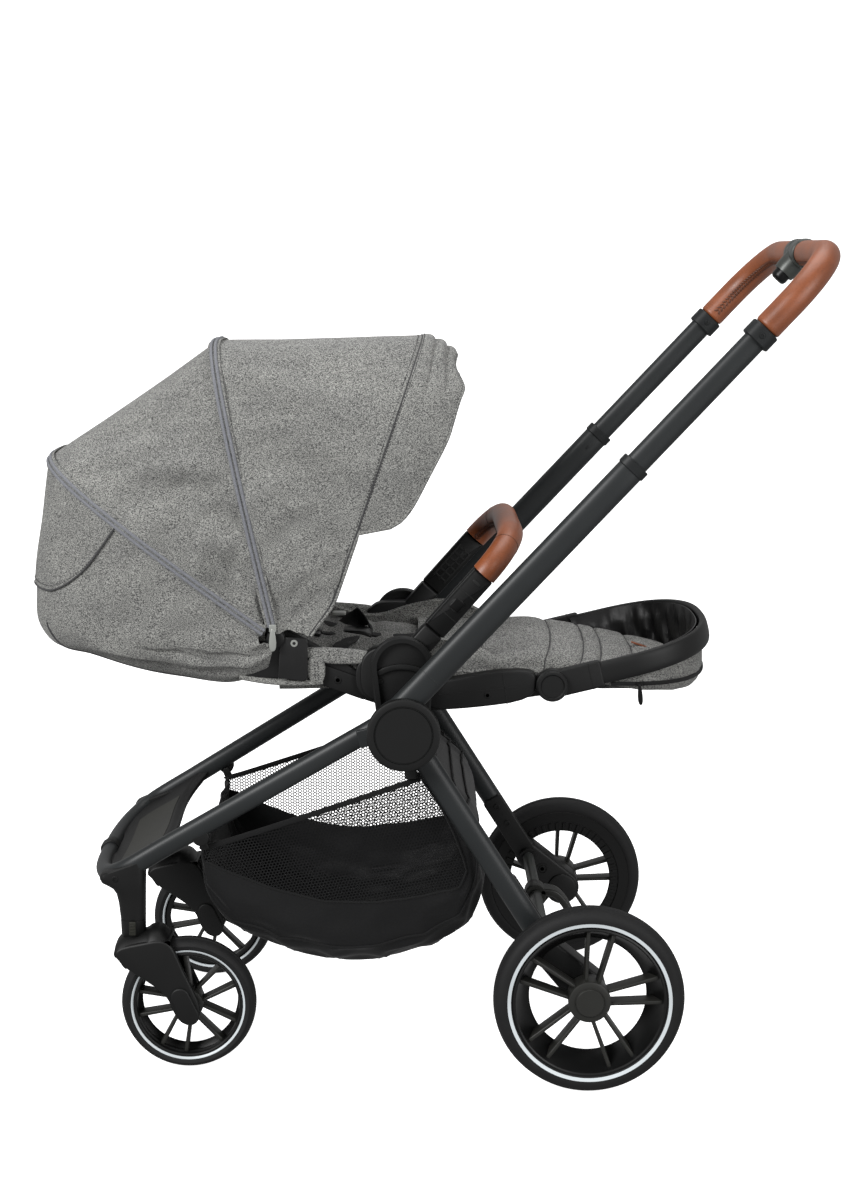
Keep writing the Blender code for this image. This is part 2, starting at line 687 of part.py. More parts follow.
def crown_outline():
    """The side view of the bridge between the blades, kept clear of the tyre."""
    top = np.array(FORK_CROWN[:2]) + spot(SWIVEL_DX, CASTER_CROWN_Z)[[0, 2]]
    clear = FRONT_RADIUS + CROWN_CLEAR
    under = [(FOLD_X + SWIVEL_DX + CROWN_UNDER[0], CASTER_CROWN_Z)]
    for dx in CROWN_UNDER:
        x = FOLD_X + SWIVEL_DX + dx
        under.append((x, FRONT_AXLE[2] + math.sqrt(clear ** 2 - (x - FRONT_AXLE[0]) ** 2)))
    return np.concatenate([top, under, [np.array(FORK_LINE[-1]) + FRONT_AXLE[[0, 2]]]])


def make_casters(plastic, grey, steel):
    """Swivel housings under the bow's corners, forks on their stems, axles and the swivel locks."""
    wheel_half = FRONT_TYRE_WIDTH / 2 + WHEEL_SIDE_GAP
    blade_out = wheel_half + FORK_BLADE
    base = CASTER_CROWN_Z + GAP
    swivel = spot(SWIVEL_DX, base)
    over = oval(LEG_THICK + 4 * GAP, LEG_DEPTH + 4 * GAP, TUBE_POWER)
    fall = math.tan(FRONT_LEG_SLOPE)
    leg_foot = front_leg_point(FRONT_LEG_LENGTH)
    for name, side in SIDES:
        middle = level(swivel, side * CASTER_Y)
        neck_top = spot(SWIVEL_DX, HOUSING_NECK_Z + PIN_ROOT, side * CASTER_Y)
        lower = rod(middle, neck_top, HOUSING_RADIUS, 28)
        stages = ((0.0, HOUSING_NECK_Z, 2 * HOUSING_RADIUS, 2 * HOUSING_RADIUS, 2.0),
                  (HOUSING_LEAN / 2, HOUSING_NECK_Z + HOUSING_FLARE, HOUSING_TOP_WIDTH, HOUSING_MID_LENGTH, 3.0),
                  (HOUSING_LEAN, leg_foot[2], HOUSING_TOP_WIDTH, HOUSING_TOP_LENGTH, 4.0))
        rings = []
        for lean, z, width, length, power in stages:
            outline = oval(width, length, power, 20)
            place = spot(SWIVEL_DX - lean, z, side * CASTER_Y)
            rings.append(place + Y_AXIS * outline[:, :1] + X_AXIS * outline[:, 1:])
        rings[-1][:, 2] = leg_foot[2] + (rings[-1][:, 0] - leg_foot[0]) * fall
        leg_cut = sweep(front_leg_path(side), over, Y_AXIS)
        bow_cut = sweep(front_bow_path(0.0), over[:, ::-1], FRONT_PLANE)
        bore = rod(middle - Z_AXIS * CUT_OVER, middle + Z_AXIS * (STEM_LENGTH + 2 * GAP), STEM_RADIUS + PIN_GAP)
        housing = cut(fused(lower, loft(rings)), bore, leg_cut, bow_cut)
        piece("caster_housing_" + name, housing, plastic, middle)
        blades = []
        for inner, outer in ((wheel_half, blade_out), (-blade_out, -wheel_half)):
            blades.append(slab(fork_outline(), side * CASTER_Y + inner, side * CASTER_Y + outer))
        crown = slab(crown_outline(), side * CASTER_Y - blade_out + GAP, side * CASTER_Y + blade_out - GAP)
        stem = rod(middle - Z_AXIS * FORK_BLADE, middle + Z_AXIS * STEM_LENGTH, STEM_RADIUS)
        piece("caster_fork_" + name, fused(crown, *blades, stem), grey, middle)
        ends = (side * CASTER_Y - wheel_half + GAP, side * CASTER_Y + wheel_half - GAP)
        axle = rod(level(FRONT_AXLE, ends[0]), level(FRONT_AXLE, ends[1]), FRONT_AXLE_RADIUS, 16)
        piece("front_axle_" + name, axle, steel, level(FRONT_AXLE, side * CASTER_Y))
        length, thick, height = LOCK_SIZE
        inner = HOUSING_RADIUS + GAP
        low = base + LOCK_RISE
        x = swivel[0]
        faces = (side * (CASTER_Y + inner), side * (CASTER_Y + inner + thick))
        lock = slab([(x - length / 2, low), (x + length / 2, low), (x + length / 2, low + height),
                     (x - length / 2, low + height)], *faces)
        piece("swivel_lock_" + name, lock, plastic, level(spot(SWIVEL_DX, low), faces[0]))


def make_wheel(kind, name, centre, radius, width, bore, first_pair, rubber, grey, out):
    """A tyre on a deep rim with pairs of spokes and a hub that runs on its axle."""
    seat = radius * (1 - TYRE_HEIGHT_SHARE)
    rim_half = width * RIM_WIDTH_SHARE / 2
    turn = np.linspace(0, math.pi, 7)
    height = radius - seat - TYRE_LIP
    crown = [(seat + TYRE_LIP + height * math.sin(a), width / 2 * math.cos(a)) for a in turn]
    tyre = [(seat + GAP, rim_half)] + crown + [(seat + GAP, -rim_half)]
    piece(kind + "_tyre_" + name, turned(tyre, centre, Y_AXIS, WHEEL_STEPS, ring=True), rubber, centre)
    inner = seat - RIM_DEPTH
    rim = turned([(seat, rim_half), (inner, rim_half), (inner, -rim_half), (seat, -rim_half)], centre, Y_AXIS,
                 WHEEL_STEPS, ring=True)
    hub_radius = radius * HUB_SHARE
    hub_half = width / 2 + HUB_PAST
    if kind == "front":
        barrel = [(hub_radius, hub_half), (bore, hub_half), (bore, -hub_half), (hub_radius, -hub_half)]
        hub = turned(barrel, centre, Y_AXIS, 24, ring=True)
    else:
        end = hub_half - HUB_FLOOR
        hub = turned([(0, hub_half), (hub_radius, hub_half), (hub_radius, -hub_half), (bore, -hub_half),
                      (bore, end), (0, end)], centre, Y_AXIS * out, 24)
    spokes = []
    for k in range(SPOKE_PAIRS):
        facing = first_pair + 2 * math.pi * k / SPOKE_PAIRS
        along, across = heading(facing), heading(facing + math.pi / 2)
        for lean in (-1, 1):
            spread = across * lean * SPOKE_HALF_SPREAD
            start = centre + along * (hub_radius - SPOKE_WIDTH) + spread * SPOKE_HUB_SHARE
            end = centre + along * (inner + SPOKE_WIDTH / 2) + spread
            outline = bar_outline(start, end, SPOKE_WIDTH)
            spokes.append(slab(outline, centre[1] - SPOKE_DEPTH / 2, centre[1] + SPOKE_DEPTH / 2))
    piece(kind + "_rim_" + name, fused(together(rim, hub), *spokes), grey, centre)


def make_wheels(rubber, grey):
    for name, side in SIDES:
        make_wheel("front", name, level(FRONT_AXLE, side * CASTER_Y), FRONT_RADIUS, FRONT_TYRE_WIDTH,
                   FRONT_AXLE_RADIUS + PIN_GAP, FRONT_SPOKE_TURN, rubber, grey, side)
        make_wheel("rear", name, level(REAR_AXLE, side * REAR_WHEEL_Y), REAR_RADIUS, REAR_TYRE_WIDTH,
                   REAR_AXLE_RADIUS + PIN_GAP, REAR_SPOKE_TURN, rubber, grey, side)


def make_rear_frame(metal, plastic, steel, grey):
    """Rear legs on their lugs, axle arms with stub axles, the cross tube and the brake pedal on it."""
    down = heading(REAR_LEG_ANGLE)
    profile = oval(LEG_THICK, REAR_LEG_DEPTH, TUBE_POWER)
    cross = FOLD + down * CROSS_TUBE_AT
    arm_out = REAR_WHEEL_Y - REAR_TYRE_WIDTH / 2 - WHEEL_SIDE_GAP
    arm_in = LEG_Y - LEG_THICK / 2
    for name, side in SIDES:
        faces = (side * (REAR_LUG_FACE - LUG_THICK), side * REAR_LUG_FACE)
        lug = slab(circle(FOLD, LUG_RADIUS), *faces)
        neck = slab(bar_outline(FOLD, FOLD + down * (LEG_START + NECK_OVERLAP), LEG_DEPTH * NECK_SHARE), *faces)
        ends = [level(FOLD + down * r, side * LEG_Y) for r in (LEG_START, REAR_LEG_END)]
        hole = pin_hole(FOLD, FOLD_PIN_RADIUS, *faces)
        leg = cut(fused(sweep(ends, profile, Y_AXIS), neck, lug), hole)
        piece("rear_leg_" + name, leg, metal, level(FOLD, side * LEG_Y))
        socket = sweep([level(FOLD + down * r, side * LEG_Y) for r in (REAR_LEG_END + GAP, CROSS_TUBE_AT)],
                       oval(LEG_THICK, REAR_LEG_DEPTH + 2 * SOCKET_WALL, 3.0), Y_AXIS)
        arm = slab(link(cross, AXLE_ARM_RADIUS, REAR_AXLE, AXLE_DRUM_RADIUS), side * arm_in, side * arm_out)
        stub_from, stub_to = side * (arm_out - PIN_ROOT), side * (REAR_WHEEL_Y + STUB_PAST)
        stub = rod(level(REAR_AXLE, stub_from), level(REAR_AXLE, stub_to), REAR_AXLE_RADIUS)
        piece("axle_housing_" + name, fused(arm, socket, stub), plastic, level(REAR_AXLE, side * arm_out))
    tube_half = arm_in - GAP
    tube = rod(level(cross, -tube_half), level(cross, tube_half), CROSS_TUBE_RADIUS, 20)
    piece("rear_cross_tube", tube, steel, cross)
    faces = (PEDAL_Y - PEDAL_WIDTH / 2, PEDAL_Y + PEDAL_WIDTH / 2)
    clamp = slab(circle(cross, CROSS_TUBE_RADIUS + PEDAL_WALL), *faces)
    tip = cross + heading(PEDAL_TIP_ANGLE) * PEDAL_REACH
    knee = cross + heading(PEDAL_KNEE_ANGLE) * PEDAL_REACH * PEDAL_KNEE_SHARE
    root_radius, knee_radius, tip_radius = PEDAL_RADII
    upper = slab(link(cross, root_radius, knee, knee_radius, 8), *faces)
    lower = slab(link(knee, knee_radius, tip, tip_radius, 8), *faces)
    shaft = pin_hole(cross, CROSS_TUBE_RADIUS, *faces)
    piece("brake_pedal", cut(fused(clamp, upper, lower), shaft), grey, cross)


def make_seat_mounts(plastic):
    """Arched plates on the fold pins, each with the pin that the seat tilts on."""
    arch = SEAT + Z_AXIS * MOUNT_RISE
    for name, side in SIDES:
        faces = (side * (MOUNT_FACE - MOUNT_THICK), side * MOUNT_FACE)
        plate = slab(link(FOLD, LUG_RADIUS, arch, MOUNT_RADIUS), *faces)
        hole = pin_hole(FOLD, FOLD_PIN_RADIUS, *faces)
        pin_from, pin_to = faces[0] + side * PIN_ROOT, side * (SEAT_INSIDE + PIN_ROOT)
        pin = rod(level(SEAT, pin_from), level(SEAT, pin_to), SEAT_PIN_RADIUS)
        piece("seat_mount_" + name, fused(cut(plate, hole), pin), plastic, level(FOLD, faces[0]))


def rail_path():
    """The seat rail's line from the canopy's pivot, under the seat plate, to the leg rest's pivot."""
    return [CANOPY] + [spot(*place) for place in RAIL_LINE] + [LEGREST]


def make_seat_frame(plastic):
    """Side rails with the seat plate, bumper socket, leg rest eye and canopy pivot pin in one moulding."""
    up = heading(BUMPER_ANGLE)
    for name, side in SIDES:
        inner, split, outer = side * SEAT_INSIDE, side * (SEAT_SPLIT - GAP), side * SEAT_FACE
        line = rail_path()
        bars = []
        for a, b in zip(line[:-1], line[1:]):
            bars.append(slab(link(a, RAIL_DEPTH / 2, b, RAIL_DEPTH / 2, 8), inner, split))
        plate = slab(circle(SEAT, SEAT_PLATE_RADIUS), inner, outer)
        socket_depth = BUMPER_DEPTH + SOCKET_DEPTH_MORE
        socket = slab(bar_outline(SEAT, SEAT + up * BUMPER_SOCKET, socket_depth), inner, outer)
        cover = slab(bar_outline(spot(*RAIL_COVER[0]), spot(*RAIL_COVER[1]), RAIL_COVER_DEPTH), inner, outer)
        head_out = side * (CANOPY_HALF - CANOPY_SKIN - 2 * GAP)
        pin_out = head_out - side * (RIVET_THICK - RIVET_OVERLAP)
        pin = rod(level(CANOPY, split - side * PIN_ROOT), level(CANOPY, pin_out), BOW_PIN_RADIUS, 16)
        head = rod(level(CANOPY, head_out - side * RIVET_THICK), level(CANOPY, head_out), RIVET_RADIUS)
        tilt = pin_hole(SEAT, SEAT_PIN_RADIUS, inner, outer)
        knob = pin_hole(LEGREST, KNOB_STEM, inner, outer)
        rail = cut(fused(plate, *bars, socket, cover), tilt, knob)
        piece("seat_rail_" + name, fused(rail, pin, head), plastic, level(SEAT, inner))


def legrest_path(half, start):
    """The leg rest's round bar: straight sides that close in half a superellipse, in its own sloping plane."""
    along = heading(LEGREST_SLOPE)
    reach = LEGREST_LENGTH - LEGREST_STRAIGHT
    turn = np.linspace(-math.pi / 2, math.pi / 2, 17)
    ahead = LEGREST_STRAIGHT + reach * np.abs(np.cos(turn)) ** LEGREST_ROUND
    y = half * np.sign(np.sin(turn)) * np.abs(np.sin(turn)) ** LEGREST_ROUND
    second = (start + 3 * LEGREST_STRAIGHT) / 4
    ahead = np.concatenate([[start, second], ahead, [second, start]])
    y = np.concatenate([[-half, -half], y, [half, half]])
    return LEGREST + along * ahead[:, None] + Y_AXIS * y[:, None]


def make_legrest(plastic, metal, cloth):
    """The leg rest bar with sleeves and ears, its knobs and the padded bag inside it."""
    half = (SEAT_FACE + SEAT_SPLIT) / 2
    normal = heading(LEGREST_SLOPE + math.pi / 2)
    bar = sweep(legrest_path(half, LEGREST_START), oval(LEGREST_DEPTH, LEGREST_THICK, 3.0, 12), normal)
    extras, holes = [], []
    for name, side in SIDES:
        faces = (side * SEAT_SPLIT, side * SEAT_FACE)
        sleeve_end = LEGREST + heading(LEGREST_SLOPE) * LEGREST_SLEEVE
        extras.append(slab(bar_outline(LEGREST, sleeve_end, LEGREST_DEPTH + 2 * SLEEVE_WALL_LEGREST), *faces))
        extras.append(slab(circle(LEGREST, LEGREST_EAR), *faces))
        holes.append(pin_hole(LEGREST, KNOB_STEM, *faces))
        face = SEAT_FACE + KNOB_TRAVEL + GAP
        reach = SEAT_INSIDE + KNOB_SHORT + KNOB_TRAVEL
        profile = [(0, face + KNOB_THICK), (KNOB_RADIUS - KNOB_EASE, face + KNOB_THICK),
                   (KNOB_RADIUS, face + KNOB_THICK - KNOB_EASE), (KNOB_RADIUS, face), (KNOB_STEM, face),
                   (KNOB_STEM, reach), (0, reach)]
        piece("legrest_knob_" + name, turned(profile, level(LEGREST, 0.0), Y_AXIS * side, 24), plastic,
              level(LEGREST, side * face))
    piece("legrest_frame", cut(fused(bar, *extras), *holes), metal, LEGREST)
    inner = SEAT_SPLIT - 2 * GAP
    rim = legrest_path(inner, LEGREST_PAD_START)
    closing = np.abs(rim[:, 1:2]) < inner - GAP
    rim = rim - heading(LEGREST_SLOPE) * (LEGREST_THICK / 2 + 2 * GAP) * closing
    top = rim - normal * LEGREST_PAD_SINK
    low = rim - normal * (LEGREST_PAD_SINK + LEGREST_PAD_DEPTH)
    piece("legrest_pad", loft([top, low]), cloth, LEGREST)


def make_bumper(plastic, leather):
    """The pull-off bumper bar: two arms with release buttons and the leather bow between them."""
    up = heading(BUMPER_ANGLE)
    normal = heading(BUMPER_ANGLE + math.pi / 2)
    middle = (SEAT_INSIDE + SEAT_FACE) / 2
    faces_at = (middle - BUMPER_THICK / 2, middle + BUMPER_THICK / 2)
    size = BUMPER_BUTTON / 2
    for name, side in SIDES:
        arm = slab(bar_outline(SEAT + up * (BUMPER_SOCKET + GAP), SEAT + up * BUMPER_ARM_END, BUMPER_DEPTH),
                   side * faces_at[0], side * faces_at[1])
        spot_out = SEAT + up * BUMPER_BUTTON_AT
        low = side * (faces_at[1] - BUMPER_BUTTON_SEAT - 2 * GAP - BUMPER_BUTTON_TRAVEL)
        room = up * (size + GAP)
        pocket = slab(bar_outline(spot_out - room, spot_out + room, 2 * (size + GAP)), low,
                      side * (faces_at[1] + CUT_OVER))
        piece("bumper_arm_" + name, cut(arm, pocket), plastic, level(SEAT + up * BUMPER_SOCKET, side * middle))
        button_in, button_out = faces_at[1] - BUMPER_BUTTON_SEAT, faces_at[1] + BUMPER_BUTTON_TRAVEL + GAP
        button = slab(bar_outline(spot_out - up * size, spot_out + up * size, 2 * size), side * button_in,
                      side * button_out)
        piece("bumper_button_" + name, button, plastic, level(spot_out, side * faces_at[1]))
    turn = np.linspace(0, math.pi / 2, 8)
    along = BUMPER_REACH - BUMPER_BEND + BUMPER_BEND * np.sin(turn)
    half = middle - BUMPER_BEND + BUMPER_BEND * np.cos(turn)
    along = np.concatenate([[BUMPER_ARM_END + GAP], along, along[::-1], [BUMPER_ARM_END + GAP]])
    half = np.concatenate([[-middle], -half, half[::-1], [middle]])
    path = SEAT + up * along[:, None] + Y_AXIS * half[:, None]
    grip = sweep(path, oval(BUMPER_GRIP * BUMPER_GRIP_FLATTEN, BUMPER_GRIP), normal)
    piece("bumper_grip", grip, leather, SEAT + up * BUMPER_ARM_END)


def arch(count, lowest=ARCH_LOWEST, power=CANOPY_POWER):
    """Even steps along half a superellipse: side shares from -1 to 1 and height shares from 0 to 1 and back."""
    turn = np.linspace(0.0, math.pi, 721)
    wide = -np.sign(np.cos(turn)) * np.abs(np.cos(turn)) ** (2 / power)
    high = np.abs(np.sin(turn)) ** (2 / power)
    keep = high >= lowest
    wide, high = wide[keep], high[keep]
    step = np.hypot(np.diff(wide) * 0.5, np.diff(high))
    length = np.concatenate([[0.0], np.cumsum(step)])
    even = np.linspace(0, length[-1], count)
    return np.interp(even, length, wide), np.interp(even, length, high)


def skin(outer, thickness, inwards):
    """A sheet of even thickness: a grid of points, and the same grid moved inwards along its normals."""
    along, across = np.gradient(outer, axis=0), np.gradient(outer, axis=1)
    normal = np.cross(along, across)
    normal /= np.linalg.norm(normal, axis=2)[..., None]
    towards = inwards - outer
    inner = outer + normal * np.sign((normal * towards).sum()) * thickness
    rings = [np.concatenate([a, b[::-1]]) for a, b in zip(outer, inner)]
    return loft(rings)


def clam(bases, tops, half, count, power=CANOPY_POWER):
    """Arches from base points up to outline points, one row for each pair, as wide as the half width."""
    wide, high = arch(count, power=power)
    bases, tops = np.asarray(bases), np.asarray(tops)
    rows = bases[:, None] + (tops - bases)[:, None] * high[None, :, None]
    return rows + Y_AXIS * (half * wide)[None, :, None]


def make_canopy(cloth, plastic):
    """Back tub, middle and front panels as thin sheets over two folding bows."""
    front, mid, rear = spot(*FRONT_TOP), spot(*MID_TOP), spot(*REAR_TOP)
    base, front_base = CANOPY, spot(*FRONT_BASE)
    middle_of_hood = spot(*CANOPY_INSIDE)

    def between(a, b, share):
        return a + (b - a) * share

    edge = CANOPY_SPLIT / np.linalg.norm(mid - rear)
    shares = np.linspace(edge, 1 - edge, 4)
    grid = clam([base] * 4, [between(rear, mid, s) for s in shares], CANOPY_HALF, 19)
    piece("canopy_middle", skin(grid, CANOPY_SKIN, middle_of_hood), cloth, CANOPY)
    edge = CANOPY_SPLIT / np.linalg.norm(mid - front)
    shares = np.linspace(edge, 1, 4)
    grid = clam([between(base, front_base, s) for s in shares], [between(mid, front, s) for s in shares],
                CANOPY_HALF, 19)
    wide, high = arch(19)
    ahead = heading(-VISOR_SLOPE)
    rise = np.clip((high - VISOR_FROM) / VISOR_OVER, 0.0, 1.0)
    reach = VISOR_LEAST + VISOR_REACH * np.sin(rise * math.pi / 2)
    visor = [grid[-1] + ahead * (reach * share)[:, None] for share in (0.5, 1.0)]
    grid = np.concatenate([grid, visor])
    piece("canopy_front", skin(grid, CANOPY_SKIN, middle_of_hood), cloth, CANOPY)
    line = [spot(*p) for p in TUB_LINE]
    edge = CANOPY_SPLIT / np.linalg.norm(line[0] - rear)
    line = [between(rear, line[0], edge)] + line
    grid = clam([base] * len(line), line, CANOPY_HALF, 19)
    piece("back_tub", skin(grid, CANOPY_SKIN, middle_of_hood), cloth, CANOPY)
    eye_out = SEAT_SPLIT + BOW_FLAT
    for name, top, face in (("front", front, eye_out), ("mid", mid, eye_out + GAP + BOW_FLAT)):
        wide, high = arch(21, 0.0)
        along = top - CANOPY
        length = np.linalg.norm(along)
        along = along / length
        reach = length - BOW_INSET
        half = face - BOW_FLAT / 2
        path = CANOPY + along * (reach * high)[:, None] + Y_AXIS * (half * wide)[:, None]
        path[0, 1], path[-1, 1] = -half, half
        side_way = np.cross(along, Y_AXIS)
        thin = BOW_FLAT - 2 * GAP
        flat = np.array([(-BOW_DEPTH, -thin), (BOW_DEPTH, -thin), (BOW_DEPTH, thin), (-BOW_DEPTH, thin)]) / 2
        start = int(np.argmax(high > BOW_EYE / 2 / reach))
        bow = sweep(path[start:len(path) - start], flat, side_way)
        eyes, holes = [], []
        for _, side in SIDES:
            eyes.append(slab(circle(CANOPY, BOW_EYE, 20), side * (face - BOW_FLAT), side * face))
            neck = bar_outline(CANOPY, CANOPY + along * BOW_NECK, BOW_DEPTH + BOW_NECK_MORE)
            eyes.append(slab(neck, side * (face - BOW_FLAT), side * face))
            holes.append(pin_hole(CANOPY, BOW_PIN_RADIUS, side * (face - BOW_FLAT), side * face))
        piece("canopy_bow_" + name, cut(fused(bow, *eyes), *holes), plastic, CANOPY)


def make_seat_pad(cloth):
    """The mattress from the back tub to the leg rest, narrower inside the tub."""
    rings = []
    for dx, z in PAD_LINE:
        half = np.interp(dx, PAD_WIDENS, (PAD_TUB_HALF, SEAT_INSIDE - 2 * GAP))
        outline = oval(2 * half, PAD_THICK, PAD_POWER, 20)
        rings.append(spot(dx, z) + Y_AXIS * outline[:, :1] + Z_AXIS * outline[:, 1:])
    piece("seat_pad", loft(rings), cloth, SEAT)


def make_basket(cloth):
    """The storage basket: a sagging sheet from the front hooks down and up to the rear of the frame."""
    line = [spot(*p) for p in BASKET_LINE]
    front, peak = spot(*BASKET_FRONT), spot(*BASKET_PEAK)
    tops = [front - Z_AXIS * BASKET_HEM] + line + [peak + (line[-1] - peak) * BASKET_HEM_SHARE]
    shares = [(p[0] - front[0]) / (peak[0] - front[0]) for p in tops]
    rims = [front + (peak - front) * min(1.0, max(0.0, s)) for s in shares]
    hook_inner = front_leg_half(BASKET_HOOK_AT) - BASKET_HOOK_THICK / 2
    grid = clam(rims, tops, hook_inner - BASKET_CLEAR, 21, BASKET_POWER)
    piece("storage_basket", skin(grid, BASKET_SKIN, spot(*BASKET_INSIDE)), cloth, front)


def main():
    clear_scene()
    tube = finish("satin_tube", (0.038, 0.045, 0.050), 0.42, 0.55)
    plastic = finish("black_plastic", (0.012, 0.012, 0.013), 0.48)
    grey = finish("grey_plastic", (0.030, 0.031, 0.029), 0.46)
    leather = finish("tan_leather", (0.30, 0.085, 0.025), 0.42)
    rubber = finish("tyre_rubber", (0.014, 0.014, 0.014), 0.72)
    steel = finish("axle_steel", (0.52, 0.52, 0.50), 0.30, 0.9)
    cloth = finish("grey_cloth", (0.21, 0.21, 0.205), 0.92)
    mesh_cloth = finish("black_cloth", (0.014, 0.014, 0.015), 0.85)
    make_fold_hubs(plastic)
    make_push_tubes(tube, plastic)
    make_handle(tube, leather, plastic)
    make_front_frame(tube, grey)
    make_casters(plastic, grey, steel)
    make_wheels(rubber, grey)
    make_rear_frame(tube, plastic, steel, grey)
    make_seat_mounts(plastic)
    make_seat_frame(plastic)
    make_legrest(plastic, tube, cloth)
    make_bumper(plastic, leather)
    make_canopy(cloth, plastic)
    make_seat_pad(cloth)
    make_basket(mesh_cloth)


main()
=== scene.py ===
import json
import math

import bmesh
import bpy
import numpy as np
from bpy.props import FloatProperty, FloatVectorProperty, PointerProperty
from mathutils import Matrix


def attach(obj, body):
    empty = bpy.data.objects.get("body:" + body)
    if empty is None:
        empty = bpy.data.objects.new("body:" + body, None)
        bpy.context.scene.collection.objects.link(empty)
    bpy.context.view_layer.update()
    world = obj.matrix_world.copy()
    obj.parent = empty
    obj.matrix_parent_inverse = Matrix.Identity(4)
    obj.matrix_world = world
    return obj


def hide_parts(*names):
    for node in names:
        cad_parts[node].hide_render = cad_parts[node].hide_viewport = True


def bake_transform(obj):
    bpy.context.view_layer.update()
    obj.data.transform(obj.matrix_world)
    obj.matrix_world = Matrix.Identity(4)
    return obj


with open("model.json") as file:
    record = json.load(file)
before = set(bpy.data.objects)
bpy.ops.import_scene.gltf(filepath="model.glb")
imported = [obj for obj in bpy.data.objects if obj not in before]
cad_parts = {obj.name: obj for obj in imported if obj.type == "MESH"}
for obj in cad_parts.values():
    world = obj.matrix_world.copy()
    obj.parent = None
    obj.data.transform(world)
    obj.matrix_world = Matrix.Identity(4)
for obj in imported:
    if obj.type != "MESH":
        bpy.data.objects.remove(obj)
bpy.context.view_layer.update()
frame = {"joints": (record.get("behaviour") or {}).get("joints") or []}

bl_info = {
    "name": "Folding pushchair",
    "version": (1, 0, 0),
    "blender": (4, 5, 0),
    "location": "3D View > Sidebar > Pushchair",
    "description": "Builds the visible pieces of a folding pushchair on its jointed frame",
    "category": "Add Mesh",
}

SIDES = (("left", -1), ("right", 1))
X, Y, Z = np.eye(3)

# The frame's own layout, in metres: its hinges, and the tubes and layers around the fold axis
HINGES = {joint["name"]: np.array(joint["pos_m"]) for joint in frame["joints"] if "pos_m" in joint}
CASTER_Y, REAR_Y = HINGES["caster_swivel_right"][1], HINGES["rear_wheel_spin_right"][1]
PIVOTS = ("handle_fold", "seat_tilt", "legrest_tilt", "canopy_mid_fold", "rear_wheel_spin_right",
    "front_wheel_spin_right", "caster_swivel_right")
FOLD, SEAT, LEGREST, CANOPY, REAR_AXLE, FRONT_AXLE, SWIVEL = (HINGES[name] * (1, 0, 1) for name in PIVOTS)
CAP_FACE, CAP_RADIUS = 0.262, 0.0475
PUSH_Y, PUSH_DEPTH, PUSH_LENGTH = 0.2395, 0.036, 0.4495
PUSH_ANGLE, PUSH_OFFSET = math.radians(46.7), 0.023
HANDLE_END, GRIP_BEND, GRIP_STRAIGHT = 0.8135, 0.085, 0.0425
LEG_Y, LEG_THICK, LEG_DEPTH = 0.21335, 0.023, 0.027
LEG_START, LEG_END, LEG_TIP, LEG_SLOPE, LEG_RISE = 0.046, 0.372, 0.012, math.radians(31.0), 0.019
BOW_HALF, BOW_REACH = 0.185, 0.1
REAR_ANGLE, REAR_END, CROSS_AT = math.radians(-57.7), 0.298, 0.352
MOUNT_OUT, MOUNT_IN, SEAT_OUT, SEAT_IN = 0.1999, 0.1869, 0.1866, 0.163


def at(dx, z, y=0.0):
    """A point by its distance behind the fold axis, its height and its side distance."""
    return np.array([FOLD[0] + dx, y, z])


def heading(angle):
    """The unit vector in the XZ plane at an angle above +X."""
    return np.array([math.cos(angle), 0.0, math.sin(angle)])


# Slopes of the leg rest and the bumper, the canopy's outline seen from the side, and half its width
REST_SLOPE, BUMPER_ANGLE = math.radians(13.5), math.radians(48.4)
FRONT_TOP, MID_TOP, REAR_TOP = at(0.026, 0.973), at(-0.2525, 0.9664), at(-0.4765, 0.8136)
TUB_LINE = (REAR_TOP, at(-0.4884, 0.7415), at(-0.5021, 0.635), at(-0.4995, 0.589), at(-0.483, 0.5665),
    at(-0.4389, 0.5534), at(-0.3111, 0.5211), at(-0.232, 0.5125), at(-0.1817, 0.5292))
CANOPY_HALF = 0.196

# Folds of the cloth pieces as waves: (height, waves along one way of the grid, waves along the other, phase)
MIDDLE_FOLDS = ((0.007, 0.9, 6.0, 0.4), (0.0036, 0.6, 14.0, 1.7), (0.0012, 1.4, -27.0, 2.2))
FRONT_FOLDS = ((0.007, 0.8, 5.0, 1.9), (0.0034, 0.5, 12.0, 0.3), (0.0012, 1.4, -25.0, 4.0))
TUB_FOLDS = ((0.003, 1.6, 5.0, 0.9), (0.002, 3.4, -7.0, 2.0), (0.0008, 1.5, 17.0, 0.2))
BASKET_CREASES = ((0.0045, 4.0, 2.0, 0.0), (0.0034, 7.0, -3.0, 1.0), (0.0012, 2.0, 9.0, 2.0))
LINING_FOLDS = ((0.003, 15.0, 0.4, 0.2), (0.0018, 27.0, -0.7, 1.4))
BAG_DENTS = ((0.0008, 1.0, 6.0, 0.3), (0.0006, 2.0, -11.0, 1.1))

# Angles in degrees above which an edge looks sharp: hard pieces, dished plates, cloth and leather, plump pads
HARD_EDGE, DISHED_EDGE, SOFT_EDGE, PLUMP_EDGE = 38, 50, 60, 70


def shifted(point, y):
    """The same place at another side distance."""
    return np.array([point[0], y, point[2]])


def flat(points):
    """The XZ coordinates of points."""
    return np.asarray(points)[..., [0, 2]]


# Surfaces


def unit(vectors):
    """Vectors divided by their lengths, along their last axis."""
    return vectors / np.linalg.norm(vectors, axis=-1)[..., None]


def distances(path):
    """How far each point of a line lies from its start: the running sum of the steps between points."""
    return np.concatenate([[0.0], np.cumsum(np.linalg.norm(np.diff(path, axis=0), axis=1))])


